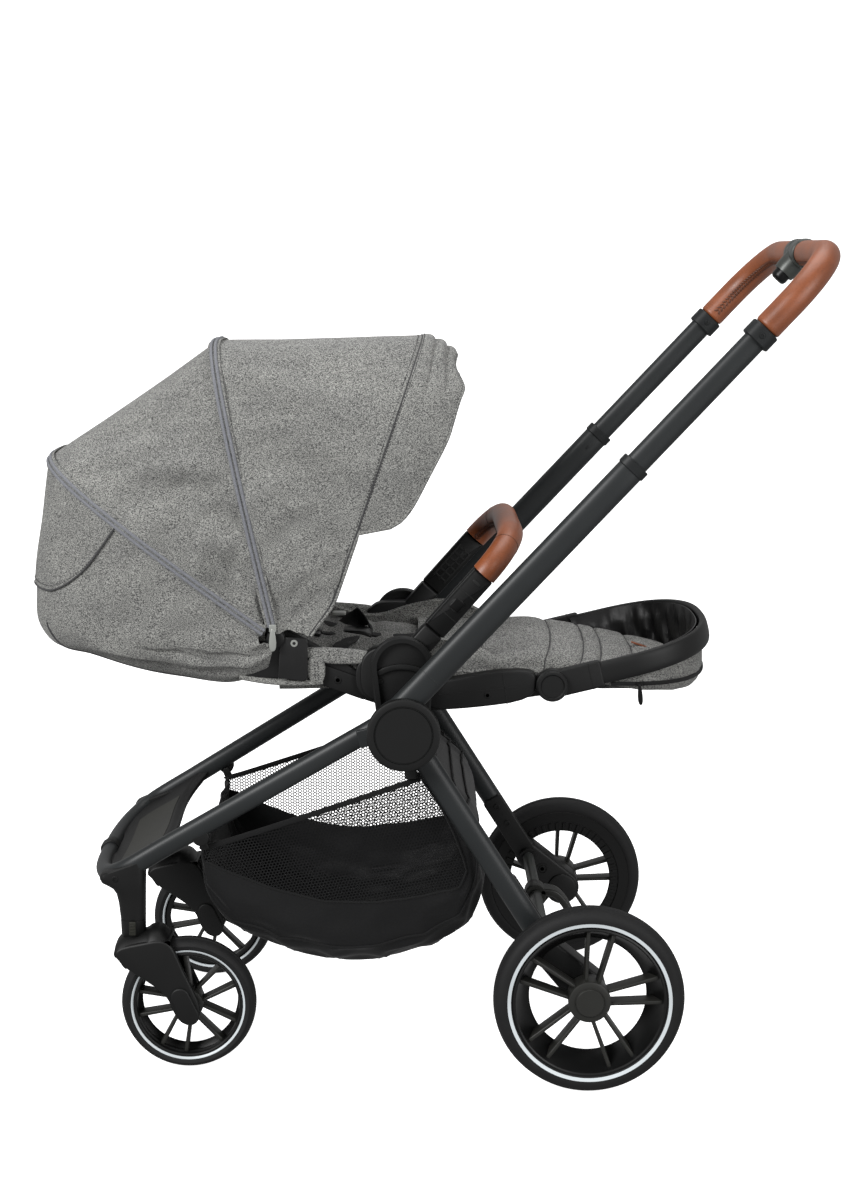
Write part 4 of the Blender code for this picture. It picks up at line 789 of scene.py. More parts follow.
def canopy_arch(count, lowest=0.06, power=3.2):
    """Even steps along half a superellipse: side shares from -1 to 1, height shares from 0 to 1 and back."""
    turn = np.linspace(0.0, math.pi, 2001)
    wide = -np.sign(np.cos(turn)) * np.abs(np.cos(turn)) ** (2 / power)
    high = np.abs(np.sin(turn)) ** (2 / power)
    keep = high >= lowest
    wide, high = wide[keep], high[keep]
    length = np.concatenate([[0.0], np.cumsum(np.hypot(np.diff(wide) * 0.5, np.diff(high)))])
    even = np.linspace(0, length[-1], count)
    return np.interp(even, length, wide), np.interp(even, length, high)


def clam(bases, tops, half, count, lowest=0.06):
    """Arches over base points: base + (top - base) * height share + side share * half width."""
    wide, high = canopy_arch(count, lowest)
    bases, tops = np.asarray(bases), np.asarray(tops)
    rows = bases[:, None] + (tops - bases)[:, None] * high[None, :, None]
    half = np.broadcast_to(half, (len(tops),))
    return rows + Y * (half[:, None] * wide[None])[..., None], wide, high


def screw(place, axis, radius=0.0045):
    """A round screw head with a round recess in its middle."""
    head = [(radius, -0.0012), (radius, 0.0004), (radius * 0.86, 0.0011), (radius * 0.55, 0.0012),
        (radius * 0.5, 0.0)]
    return turned(head, np.asarray(place), axis, 24)


def rail_line(count=60):
    """The seat rail's middle line: a smooth line from the canopy's pivot down and up to the leg rest's."""
    return curve([CANOPY, at(-0.108, 0.556), at(-0.045, 0.516), at(0.04, 0.503), at(0.11, 0.5125), LEGREST],
        count)


def foot_plate_rows(count=41):
    """The foot plate's upper face: across the inside of the bow, dished, and hollowed at its rear edge."""
    path = bow_path(401)
    slope = heading(math.pi + LEG_SLOPE)
    ahead = (path - leg_point(0.0)) @ slope
    line = np.stack([ahead, path[:, 1]], axis=1)[200:]
    along = np.gradient(line, axis=0)
    along /= np.maximum(np.linalg.norm(along, axis=1), 1e-9)[:, None]
    inwards = np.stack([-along[:, 1], along[:, 0]], axis=1)
    inwards *= np.sign((inwards * ((LEG_END, 0.0) - line)).sum(axis=1))[:, None]
    room = line + inwards * 0.0121
    order = np.argsort(room[:, 0])
    share = np.linspace(0, 1, 36)[:, None]
    turn = np.linspace(-1, 1, count)[None]
    start = 0.374 - 0.04 * np.abs(turn) ** 5
    stations = start + (room[:, 0].max() - 0.0008 - start) * share
    half = np.minimum(0.172, np.interp(stations, room[order, 0], room[order, 1]))
    sink = 0.012 * (1 - turn ** 2) * (1 - share ** 3) + 0.003 * (1 - turn ** 8)
    sink = sink + 0.006 * ease((0.12 - share) / 0.12)
    return (leg_point(0.0) + slope * stations[..., None] + Y * (half * turn)[..., None]
        - LEG_PLANE * (sink - 0.003)[..., None])


def draped(bases, tops, count, sag, waves, inside, lowest=0.06):
    """A cloth panel: arches from bases to tops, sunk between the bows and rippled along its normal."""
    rows, wide, high = clam(bases, tops, CANOPY_HALF, count, lowest)
    share = np.linspace(0, 1, len(tops))[:, None]
    v = np.linspace(0, 1, count)[None]
    out = unit(rows - inside)
    held = np.sin(share * math.pi) ** 0.5 * (1 - 0.85 * high[None] ** 6)
    bend = 0.35 * np.sin(2 * math.pi * (v * 2.3 + share * 0.7))
    fold = ripple(share + bend * 0.3, v + bend * 0.05, waves)
    rows = rows - out * (np.sin(share * math.pi) * sag * high ** 1.5 - fold * held)[..., None]
    return rows, wide, high, out


# Pieces


def build_tubes():
    """Push tubes, front and rear legs as ovals carried along lines, the front bow and the foot plate."""
    leg = oval(LEG_THICK, LEG_DEPTH, 2.4)
    for name, side in SIDES:
        y = side * PUSH_Y
        lug = plate(disc(FOLD, 0.044), y - 0.0126, y + 0.0126, 0.003)
        tube = rounded_bar([push_point(t, y) for t in np.linspace(0.0, PUSH_LENGTH, 12)], 0.025, PUSH_DEPTH,
            Y, 2.6, 0.001)
        seam = rounded_bar([push_point(t, y) for t in (0.0765, 0.077, 0.0775)], 0.0254, PUSH_DEPTH + 0.0004,
            Y, 2.6, 0.0002)
        skin("push_tube", name, [lug, tube, seam], "tube", "push_frame")
        s = np.array([LEG_START - 0.03, LEG_START, 0.15, 0.25, LEG_END - LEG_TIP, LEG_END + 0.002])
        path = np.array([leg_point(k, side * leg_half(max(k, LEG_START))) for k in s])
        lug = plate(disc(FOLD, 0.03), side * 0.2135, side * 0.2265, 0.001)
        neck = plate(bar(FOLD, leg_point(0.058), 0.024), side * 0.2135, side * 0.2265, 0.002)
        skin("front_leg", name, [swept(path, leg, Y), lug, neck], "tube", "chassis")
        down = heading(REAR_ANGLE)
        ends = [shifted(FOLD + down * r, side * LEG_Y) for r in (LEG_START - 0.006, 0.15, REAR_END,
                CROSS_AT - 0.004)]
        lug = plate(disc(FOLD, 0.03), side * 0.2002, side * 0.2132, 0.001)
        neck = plate(bar(FOLD, FOLD + down * 0.058, 0.024), side * 0.2002, side * 0.2132, 0.002)
        tube = swept(ends, oval(LEG_THICK, 0.03, 2.2), Y)
        skin("rear_leg", name, [tube, lug, neck], "tube", "rear_frame")
    skin("front_bow", "", [swept(bow_path(), leg[:, ::-1], LEG_PLANE)], "tube", "chassis")
    rows = foot_plate_rows()
    skin("foot_plate", "", [cloth(rows, 0.006, at(-0.33, 0.0))], "plastic", "chassis", slot="grey_plastic",
        sharp=DISHED_EDGE)
    middle = rows[5:30, 5:-5] + LEG_PLANE * 0.0006
    piece("foot_plate_panel", [cloth(middle, 0.003, at(-0.33, 0.0))], "olive", "chassis", sharp=DISHED_EDGE)
    tip = leg_point(LEG_END + BOW_REACH) + LEG_PLANE * 0.001
    clip = rounded_bar([tip + Y * y for y in (-0.011, 0.0, 0.011)], 0.03, 0.0262, LEG_PLANE, 3.0, 0.0015)
    piece("front_bow_clip", [clip], "plastic", "chassis")


def collar(base, top, outer, inner, y):
    """A guide ring on an oval tube: eased outer and inner ovals along the handle's line."""
    soft = 0.0012
    stages = [(base, -soft, outer), (base + soft, 0, outer), (top - soft, 0, outer), (top, -soft, outer),
        (top, 0, inner), (base, 0, inner)]
    across = heading(PUSH_ANGLE + math.pi / 2)
    rings = []
    for t, change, size in stages:
        outline = oval(size[0] + 2 * change, size[1] + 2 * change, 2.6)
        rings.append(push_point(t, y) + Y * outline[:, :1] + across * outline[:, 1:])
    return patch(rings, wrap=True, ring=True)


def build_handle():
    """Telescopic tubes, collars, two laced grips bent on a quarter circle, the button and its housing."""
    normal = heading(PUSH_ANGLE + math.pi / 2)
    collar_top = HANDLE_END - GRIP_BEND - GRIP_STRAIGHT
    grip_size, housing_half = (0.036, 0.0345), 0.0324
    for name, side in SIDES:
        y = side * PUSH_Y
        lip = PUSH_LENGTH + 0.0053
        ring = collar(PUSH_LENGTH - 0.0075, lip, (0.0284, 0.0392), (0.0216, 0.0318), y)
        shape = bar(push_point(PUSH_LENGTH - 0.03, y), push_point(PUSH_LENGTH - 0.022, y), 0.004, 0.0018)
        slot = plate(shape, y - side * 0.0129, y - side * 0.01, 0.0004)
        skin("tube_sleeve", name, [ring, slot], "dark_tube", "push_frame")
        path = [push_point(t, y) for t in np.linspace(PUSH_LENGTH - 0.165, collar_top, 8)]
        skin("handle_tube", name, [swept(path, oval(0.0203, 0.0305, 2.4), Y)], "tube", "handle")
        ring = collar(collar_top - 0.021, collar_top, (0.0335, 0.0398), (0.021, 0.0312), y)
        dot = screw(push_point(collar_top - 0.0105, y - 0.0167), -Y, 0.0038)
        skin("grip_collar", name, [ring, dot], "dark_tube", "handle")
        turn = np.linspace(0, math.pi / 2, 33)
        along = HANDLE_END - GRIP_BEND + GRIP_BEND * np.sin(turn)
        half = PUSH_Y - GRIP_BEND + GRIP_BEND * np.cos(turn)
        t = np.concatenate([np.linspace(collar_top + 0.0004, along[0], 8)[:-1], along,
                np.full(8, HANDLE_END)])
        w = np.concatenate([np.full(7, PUSH_Y), half, np.linspace(half[-1], housing_half, 9)[1:]])
        path = FOLD + heading(PUSH_ANGLE) * t[:, None] + normal * PUSH_OFFSET + Y * (side * w)[:, None]
        grip = rounded_bar(path, *grip_size, normal, 2.0, 0.004, 48)
        skin("handle_grip", name, [grip], "leather", "handle")
        lace = stitches(path, normal, 0.0176, side, 0.0056)
        piece("handle_lace_" + name, lace, "lace", "handle")
    middle, down = push_point(HANDLE_END), -heading(PUSH_ANGLE)
    lobes = []
    for y in (-0.0215, 0.0215):
        lobe = [(0.0178, -0.0105), (0.0196, -0.009), (0.0202, -0.004), (0.0202, 0.004), (0.0196, 0.009),
            (0.0178, 0.0105)]
        lobes.append(turned(lobe, shifted(middle, y), Y, 56))
    core = turned([(0.0175, -0.032), (0.0188, -0.031), (0.0188, 0.031), (0.0175, 0.032)], middle, Y, 56)
    profile = [(0.0158, 0.004), (0.0165, 0.012), (0.016, 0.03), (0.0146, 0.036), (0.0122, 0.036),
        (0.0122, 0.02)]
    boss = turned(profile, middle, down, 48)
    skin("button_housing", "", lobes + [core, boss], "satin", "handle")
    button = [(0.0114, 0.0282), (0.0114, 0.043), (0.0104, 0.0465), (0.0082, 0.0482), (0.004, 0.0485)]
    skin("handle_button", "", [turned(button, middle, down, 40)], "gloss", "handle_release")


def build_hubs():
    """Hub covers turned about the fold axis, and the seat mounts as hollow plates around two discs."""
    rim = [(0.036, -0.0), (0.0366, -0.0014), (0.0376, -0.0014), (0.0384, 0.0), (0.0445, 0.0),
        (0.0466, -0.0008), (CAP_RADIUS, -0.003), (CAP_RADIUS, -0.0092), (0.04, -0.0095)]
    cap = [(0.0006, -0.0016), (0.02, -0.0012), (0.032, -0.0006), (0.035, -0.0004), (0.0357, -0.0018),
        (0.0357, -0.004)]
    arch = SEAT + Z * 0.001
    for name, side in SIDES:
        centre = shifted(FOLD, side * CAP_FACE)
        pin = rod(shifted(FOLD, side * 0.187), shifted(FOLD, side * 0.2525), 0.008)
        skin("fold_hub", name, [turned(rim, centre, Y * side, 96), pin], "plastic", "chassis")
        piece("fold_hub_disc_" + name, [turned(cap, centre, Y * side, 96)], "gloss", "chassis")
        outline = link(FOLD, 0.034, arch, 0.041, 36)
        ring = hollow(outline, 0.008, side * MOUNT_IN, side * MOUNT_OUT, 0.0022)
        back = plate(inset(outline, 0.006), side * (MOUNT_IN + 0.0004), side * (MOUNT_IN + 0.0036), 0.0006)
        sill = arch - Z * 0.06
        top = arc(sill, 0.064, math.radians(122), math.radians(58), 30)
        low = arc(sill, 0.056, math.radians(58), math.radians(122), 30)
        shape = np.concatenate([top, low])
        rib = plate(shape, side * (MOUNT_IN + 0.003), side * (MOUNT_IN + 0.0085), 0.0012)
        bolt = screw(shifted(arch + np.array([-0.029, 0, -0.02]), side * (MOUNT_IN + 0.0044)), Y * side,
            0.0042)
        pin = rod(shifted(SEAT, side * (MOUNT_IN + 0.002)), shifted(SEAT, side * 0.167), 0.007)
        skin("seat_mount", name, [ring, back, rib, bolt, pin], "plastic", "chassis")


def build_seat_frame():
    """The seat's side rails: a ribbon along the rail line with plates, covers and screws."""
    up = heading(BUMPER_ANGLE)
    for name, side in SIDES:
        inner, mid, outer = side * SEAT_IN, side * 0.1725, side * SEAT_OUT
        rail = plate(ribbon(rail_line(), 0.03), inner, mid, 0.003)
        shape = side_shape(((-0.057, 0.515), (-0.057, 0.558), (-0.044, 0.573), (-0.026, 0.577),
                (0.02, 0.577), (0.04, 0.562), (0.046, 0.53), (0.03, 0.503), (-0.034, 0.5)), 2)
        hub = plate(shape, inner, outer, 0.003)
        shape = side_shape(((-0.062, 0.556), (-0.04, 0.56), (-0.03, 0.5), (-0.044, 0.502), (-0.064, 0.52)),
            2)
        block = plate(shape, inner, side * 0.1835, 0.002)
        socket = plate(bar(SEAT, SEAT + up * 0.062, 0.03), inner, outer, 0.003)
        shape = side_shape(((0.026, 0.4905), (0.026, 0.528), (0.074, 0.5345), (0.112, 0.542), (0.166, 0.545),
                (0.176, 0.534), (0.17, 0.5045), (0.09, 0.4935)), 2)
        cover = plate(shape, inner, outer, 0.0035)
        shape = bar(at(0.045, 0.5125), at(0.15, 0.5225), 0.0016, 0.0007)
        seam = plate(shape, outer - side * 0.002, outer + side * 0.0005, 0.0002)
        shape = bar(at(0.136, 0.5), at(0.13, 0.54), 0.0016, 0.0007)
        split = plate(shape, outer - side * 0.002, outer + side * 0.0005, 0.0002)
        bolts = [screw(shifted(at(0.11, 0.5115), outer), Y * side)]
        bolts += [screw(shifted(at(-0.0865, 0.53), y), Y * side, 0.0052) for y in (mid, mid + side * 0.003)]
        shape = bar(at(-0.112, 0.539), at(-0.046, 0.515), 0.027, 0.004)
        rest = plate(shape, mid - side * 0.003, mid + side * 0.003, 0.0014)
        pin = rod(shifted(CANOPY, side * 0.17), shifted(CANOPY, side * 0.189), 0.004)
        profile = [(0.0098, -0.004), (0.0118, -0.003), (0.012, -0.001), (0.0105, 0.0), (0.004, 0.0004)]
        head = turned(profile, shifted(CANOPY, side * 0.1924), Y * side, 40)
        skin("seat_rail", name, [rail, hub, block, socket, cover, seam, split, rest, pin, head] + bolts,
            "plastic", "seat")


def build_bumper():
    """Two flat arms with raised lines and a square button, and a laced grip bent on two quarter circles."""
    up, normal = heading(BUMPER_ANGLE), heading(BUMPER_ANGLE + math.pi / 2)
    middle, arm_half, arm_wide, arm_start, arm_end = 0.1748, 0.008, 0.0315, 0.0626, 0.16
    button_at, button_half = 0.108, 0.0075
    for name, side in SIDES:
        low, high = side * (middle - arm_half), side * (middle + arm_half)

        def strip(start, end, width, face, proud=0.0008):
            """A raised strip on one face of the arm, between two places (along, across) from the pivot."""
            ends = [SEAT + up * a + normal * b for a, b in (start, end)]
            out = side if face == high else -side
            return plate(bar(ends[0], ends[1], width, width * 0.4), face - out * 0.001, face + out * proud,
                0.0003)

        arm = plate(bar(SEAT + up * arm_start, SEAT + up * arm_end, arm_wide, 0.002), low, high, 0.0025)
        skin("bumper_arm", name, [arm], "plastic", "bumper")
        # Painted highlight: the raised lines, the square pad under the button and the vent grid take the
        # lighter grey finish so that they show as lit edges on the black arm.
        lines = [strip((r, -0.0145), (r, 0.0145), 0.0012, high, 0.0004) for r in (0.09, 0.128)]
        lines += [strip((0.147, -0.006), (0.147, 0.006), 0.004, high),
            strip((0.066, 0.0138), (0.158, 0.0138), 0.0018, high),
            strip((0.099, 0), (0.117, 0), 0.018, high)]
        lines += [strip((0.084 + 0.0105 * k, -0.01), (0.084 + 0.0105 * k, 0.01), 0.0022, low)
            for k in range(6)]
        lines += [strip((0.08, b), (0.14, b), 0.0022, low) for b in (-0.01, 0.0, 0.01)]
        piece("bumper_lines_" + name, lines, "grey", "bumper")
        spot = SEAT + up * button_at
        shape = bar(spot - up * button_half, spot + up * button_half, 2 * button_half, 0.002)
        button = plate(shape, high - side * 0.006, high + side * 0.0023, 0.001)
        skin("bumper_button", name, [button], "gloss", "bumper_release_" + name)
    bend, reach, inward, thick = 0.057, 0.219, 0.088, 0.034
    turn = np.linspace(0, math.pi / 2, 25)
    along = np.concatenate([np.linspace(arm_end + 0.0004, reach - bend, 4)[:-1],
            reach - bend + bend * np.sin(turn)])
    half = np.concatenate([np.full(3, middle), middle - inward + inward * np.cos(turn)])
    along = np.concatenate([along, np.full(11, reach), along[::-1]])
    half = np.concatenate([-half, np.linspace(-half[-1], half[-1], 13)[1:-1], half[::-1]])
    path = SEAT + up * along[:, None] + Y * half[:, None]
    grip = rounded_bar(path, thick, thick, normal, 2.0, 0.004, 44)
    skin("bumper_grip", "", [grip], "leather", "bumper")
    joins = [swept([path[k], path[k] + (path[k + 1] - path[k]) * 0.2],
            oval(thick + 0.0006, thick + 0.0006, 2.0, 44), normal) for k in (16, -18)]
    piece("bumper_lace", stitches(path, normal, 0.0178, -1, 0.0056) + joins, "lace", "bumper")


def build_legrest():
    """The leg rest's bar as a flat oval carried round its bow, its end plates and the two turned knobs."""
    normal = heading(REST_SLOPE + math.pi / 2)
    half = 0.1797
    frame_bar = swept(rest_path(half, 0.01), oval(0.03, 0.0115, 3.0, 36), normal)
    shapes = [frame_bar]
    for name, side in SIDES:
        low, high = side * 0.1729, side * SEAT_OUT
        end = LEGREST + heading(REST_SLOPE) * 0.068
        shapes.append(plate(bar(LEGREST - heading(REST_SLOPE) * 0.004, end, 0.036, 0.004), low, high,
                0.003))
        shapes.append(plate(disc(LEGREST, 0.0215), low, high, 0.002))
        seam = LEGREST + heading(REST_SLOPE) * 0.052
        shapes.append(plate(bar(seam - normal * 0.0178, seam + normal * 0.0178, 0.0014, 0.0005), low,
                high + side * 0.0004, 0.0002))
        face = 0.1899
        knob = [(0.006, -0.018), (0.006, 0.0), (0.019, 0.0), (0.0203, 0.0012), (0.0203, 0.0034),
            (0.019, 0.0048), (0.0162, 0.005), (0.015, 0.004), (0.0146, 0.003), (0.001, 0.0032)]
        skin("legrest_knob", name, [turned(knob, shifted(LEGREST, side * face), Y * side, 64)], "plastic",
            "knob_" + name)
    skin("legrest_frame", "", shapes, "plastic", "legrest", slot="tube_anthracite")


def build_casters():
    """Forks domed across their width, stacked ovals for the housings, axles and swivel locks."""
    side_line = side_shape(((-0.3742, 0.176), (-0.383, 0.171), (-0.3852, 0.1645), (-0.38, 0.1565),
            (-0.369, 0.144), (-0.3512, 0.133), (-0.3172, 0.1085), (-0.309, 0.085), (-0.299, 0.069),
            (-0.286, 0.065), (-0.2735, 0.075), (-0.2715, 0.0929), (-0.2835, 0.1209), (-0.2945, 0.1442),
            (-0.3025, 0.165), (-0.3085, 0.177), (-0.3178, 0.184), (-0.33, 0.185), (-0.344, 0.182)), 2)
    clear = 0.0965
    crest = np.array([(-0.3795, 0.158, 0.0), (-0.3862, 0.1676, 0.3), (-0.3846, 0.1775, 0.6),
            (-0.3742, 0.186, 0.8), (-0.356, 0.188, 1), (-0.343, 0.192, 1), (-0.337, 0.1975, 1),
            (-0.326, 0.1985, 1), (-0.3178, 0.192, 0.9), (-0.311, 0.18, 0.4)])
    arch = np.array([flat(FRONT_AXLE + heading(a) * clear) for a in np.radians(np.linspace(102, 147, 9))])
    stages = ((0.1838, 0.0305, 0.03, -0.0008, 2.0, 0.0), (0.185, 0.0318, 0.0325, -0.0008, 2.0, 0.0),
        (0.2066, 0.032, 0.0335, -0.001, 2.1, 0.0), (0.207, 0.0306, 0.0318, -0.001, 2.1, 0.0),
        (0.2082, 0.0306, 0.0318, -0.001, 2.1, 0.0), (0.2086, 0.0322, 0.0337, -0.001, 2.1, 0.0),
        (0.23, 0.033, 0.036, -0.0018, 2.4, 0.0), (0.243, 0.034, 0.0388, -0.003, 2.8, 0.02),
        (0.251, 0.0355, 0.0435, -0.0052, 3.2, 0.06), (0.257, 0.0362, 0.051, -0.0088, 3.6, 0.14),
        (0.262, 0.0362, 0.058, -0.012, 3.8, 0.22), (0.272, 0.0362, 0.061, -0.0134, 4.0, 0.45),
        (0.279, 0.0352, 0.0595, -0.0134, 4.0, 0.6), (0.281, 0.0312, 0.055, -0.0134, 4.0, 0.6))
    slant = math.tan(LEG_SLOPE)
    for name, side in SIDES:
        y = side * CASTER_Y
        rings = []
        for k in np.sin(np.linspace(-math.pi / 2, math.pi / 2, 17)):
            dome = np.array([flat(at(dx, z - 0.014 * abs(k) ** 3 * w)) for dx, z, w in crest])
            line = eased(np.concatenate([dome, arch]), 2)
            rings.append(np.stack([line[:, 0], np.full(len(line), y + 0.0285 * k), line[:, 1]], axis=1))
        shapes = [patch(rings, wrap=True, ends=True)]
        for low, high in ((0.0212, 0.0295), (-0.0295, -0.0212)):
            shapes.append(plate(side_line, y + low, y + high, 0.004, 6))
        for face in (-1, 1):
            pad = link(at(-0.2862, 0.08), 0.0128, at(-0.2985, 0.106), 0.0128)
            outer = y + face * 0.028
            shapes.append(plate(pad, outer, outer + face * 0.0046, 0.0022, 5))
        shapes.append(rod(shifted(SWIVEL, y) - Z * 0.006, shifted(SWIVEL, y) + Z * 0.05, 0.007))
        skin("caster_fork", name, shapes, "plastic", "caster_" + name, slot="grey_plastic")
        axle_rod = rod(shifted(FRONT_AXLE, y - 0.0212), shifted(FRONT_AXLE, y + 0.0212), 0.005)
        skin("front_axle", name, [axle_rod], "steel", "caster_" + name)
        rings = []
        for z, across, along, lean, power, tilt in stages:
            o = oval(across, along, power, 44)
            rings.append(np.array([SWIVEL[0] + lean, y, z]) + Y * o[:, :1] + X * o[:, 1:]
                + Z * (o[:, 1:] * slant * tilt))
        bolt = screw((SWIVEL[0] - 0.022, y + side * 0.0181, 0.266), Y * side)
        skin("caster_housing", name, [patch(rings, wrap=True, ends=True), bolt], "plastic", "chassis")
        block = bar(np.array([SWIVEL[0], 0, 0.1884]), np.array([SWIVEL[0], 0, 0.2072]), 0.009, 0.0015)
        lock = [plate(block, y + side * 0.0164, y + side * 0.02, 0.0012)]
        for k in range(3):
            z = 0.194 + 0.004 * k
            rib = bar(np.array([SWIVEL[0] - 0.003, 0, z]), np.array([SWIVEL[0] + 0.003, 0, z]), 0.0014,
                0.0006)
            lock.append(plate(rib, y + side * 0.0194, y + side * 0.0206, 0.0004))
        skin("swivel_lock", name, lock, "olive", "swivel_lock_" + name + "_slider", slot="black_plastic")


def wheel_shapes(centre, radius, width, out, ring_edges, back, first):
    """Tyre, bowl-shaped rim, paired blade spokes, hub and bright rings, all about the wheel's axis."""
    seat = radius * 0.795
    h = width / 2
    wall = ((seat + 0.0006, h * 0.8), (seat + 0.003, h * 0.93), (seat + 0.01, h * 1.0),
        (radius - 0.01, h * 0.97))
    tread = ((radius - 0.0055, h * 0.84), (radius - 0.0026, h * 0.62), (radius - 0.001, h * 0.36),
        (radius - 0.0008, h * 0.31), (radius - 0.0018, h * 0.29), (radius - 0.0018, h * 0.25),
        (radius - 0.0002, h * 0.22), (radius, 0.0))
    profile = np.array(wall + tread)
    tyre = np.concatenate([profile, profile[-2::-1] * (1, -1)])
    ring_r = np.linspace(ring_edges[0], ring_edges[1], 6)
    ring_d = np.interp(ring_r, [r for r, _ in wall], [d for _, d in wall])
    rings = []
    for face in (-1, 1):
        proud = np.stack([ring_r, face * (ring_d + 0.0005)], axis=1)
        under = np.stack([ring_r, face * (ring_d - 0.0008)], axis=1)
        rings.append(turned(np.concatenate([proud, under[::-1]]), centre, Y, 120, ring=True))
    rim = [(seat, h * 0.78), (seat + 0.0008, h * 0.9), (seat - 0.0012, h * 0.94), (seat - 0.003, h * 0.9),
        (seat - 0.0045, h * 0.7), (back + 0.008, -h * 0.45), (back + 0.001, -h * 0.78), (back, -h * 0.84),
        (back + 0.001, -h * 0.88), (seat - 0.0012, -h * 0.9), (seat, -h * 0.78)]
    hub_r, cap_r = radius * 0.224, radius * 0.15
    end = h + 0.0006
    hub = [(0.0008, end), (cap_r - 0.001, end), (cap_r, end - 0.001), (cap_r + 0.0006, end - 0.0034),
        (hub_r - 0.003, end - 0.0036), (hub_r - 0.0008, end - 0.0045), (hub_r, end - 0.007),
        (hub_r * 0.96, -end + 0.004), (hub_r * 0.9, -end), (0.0066, -end)]
    spokes = []
    step = np.linspace(0, 1, 8)[:, None]
    for k in range(5):
        facing = math.radians(first + 72 * k)
        along, across = flat(heading(facing)), flat(heading(facing + math.pi / 2))
        for lean in (-1, 1):
            a = flat(centre) + along * (hub_r * 0.75) + across * lean * 0.0078
            b = flat(centre) + along * (seat - 0.0035) + across * lean * 0.0172
            line = unit(b - a)
            n = np.array([-line[1], line[0]])
            near, far = n * 0.0021, n * 0.0027
            edge = np.concatenate([a + near + (b + far - a - near) * step,
                    b - far + (a - near - b + far) * step])
            spokes.append(plate(edge, centre[1] - out * h * 0.62, centre[1] + out * h * 0.58, 0.0014))
    return (turned(tyre, centre, Y, 120, ring=True), rings, turned(rim, centre, Y * out, 120, ring=True),
        turned(hub, centre, Y * out, 64), spokes)


def build_wheels():
    """Four wheels from two kinds, and the notched brake ring inside each rear wheel."""
    kinds = (("front", FRONT_AXLE, CASTER_Y, 0.0905, 0.036, (0.0735, 0.0764), 0.064, 36.0),
        ("rear", REAR_AXLE, REAR_Y, 0.125, 0.04, (0.1026, 0.1071), 0.077, 81.0))
    for kind, place, y, radius, width, ring_edges, back, first in kinds:
        for name, side in SIDES:
            body = kind + "_wheel_" + name
            centre = shifted(place, side * y)
            tyre, rings, rim, hub, spokes = wheel_shapes(centre, radius, width, side, ring_edges, back,
                first)
            skin(kind + "_tyre", name, [tyre], "rubber", body)
            shown = rings if kind == "front" else [rings[(side + 1) // 2]]
            piece(f"{kind}_ring_{name}", shown, "ring", body)
            skin(kind + "_rim", name, [rim], "rim", body)
            piece(f"{kind}_spokes_{name}", spokes + [hub], "spoke", body)
            if kind == "rear":
                edge = width / 2
                flange = [(back, edge - 0.004), (back, edge - 0.0012), (0.0905, edge - 0.0012),
                    (0.0912, edge + 0.0006), (0.1062, edge + 0.0006), (0.107, edge - 0.0006),
                    (0.104, edge - 0.004)]
                shapes = [turned(flange, centre, -Y * side, 100, ring=True)]
                face = centre[1] - side * (edge - 0.0014)
                for k in range(50):
                    d = heading(2 * math.pi * k / 50)
                    notch = bar(centre + d * 0.0778, centre + d * 0.0898, 0.005, 0.0009)
                    shapes.append(plate(notch, face - side * 0.002, face + side * 0.002, 0.0007, 2))
                piece("brake_ring_" + name, shapes, "rim", body)


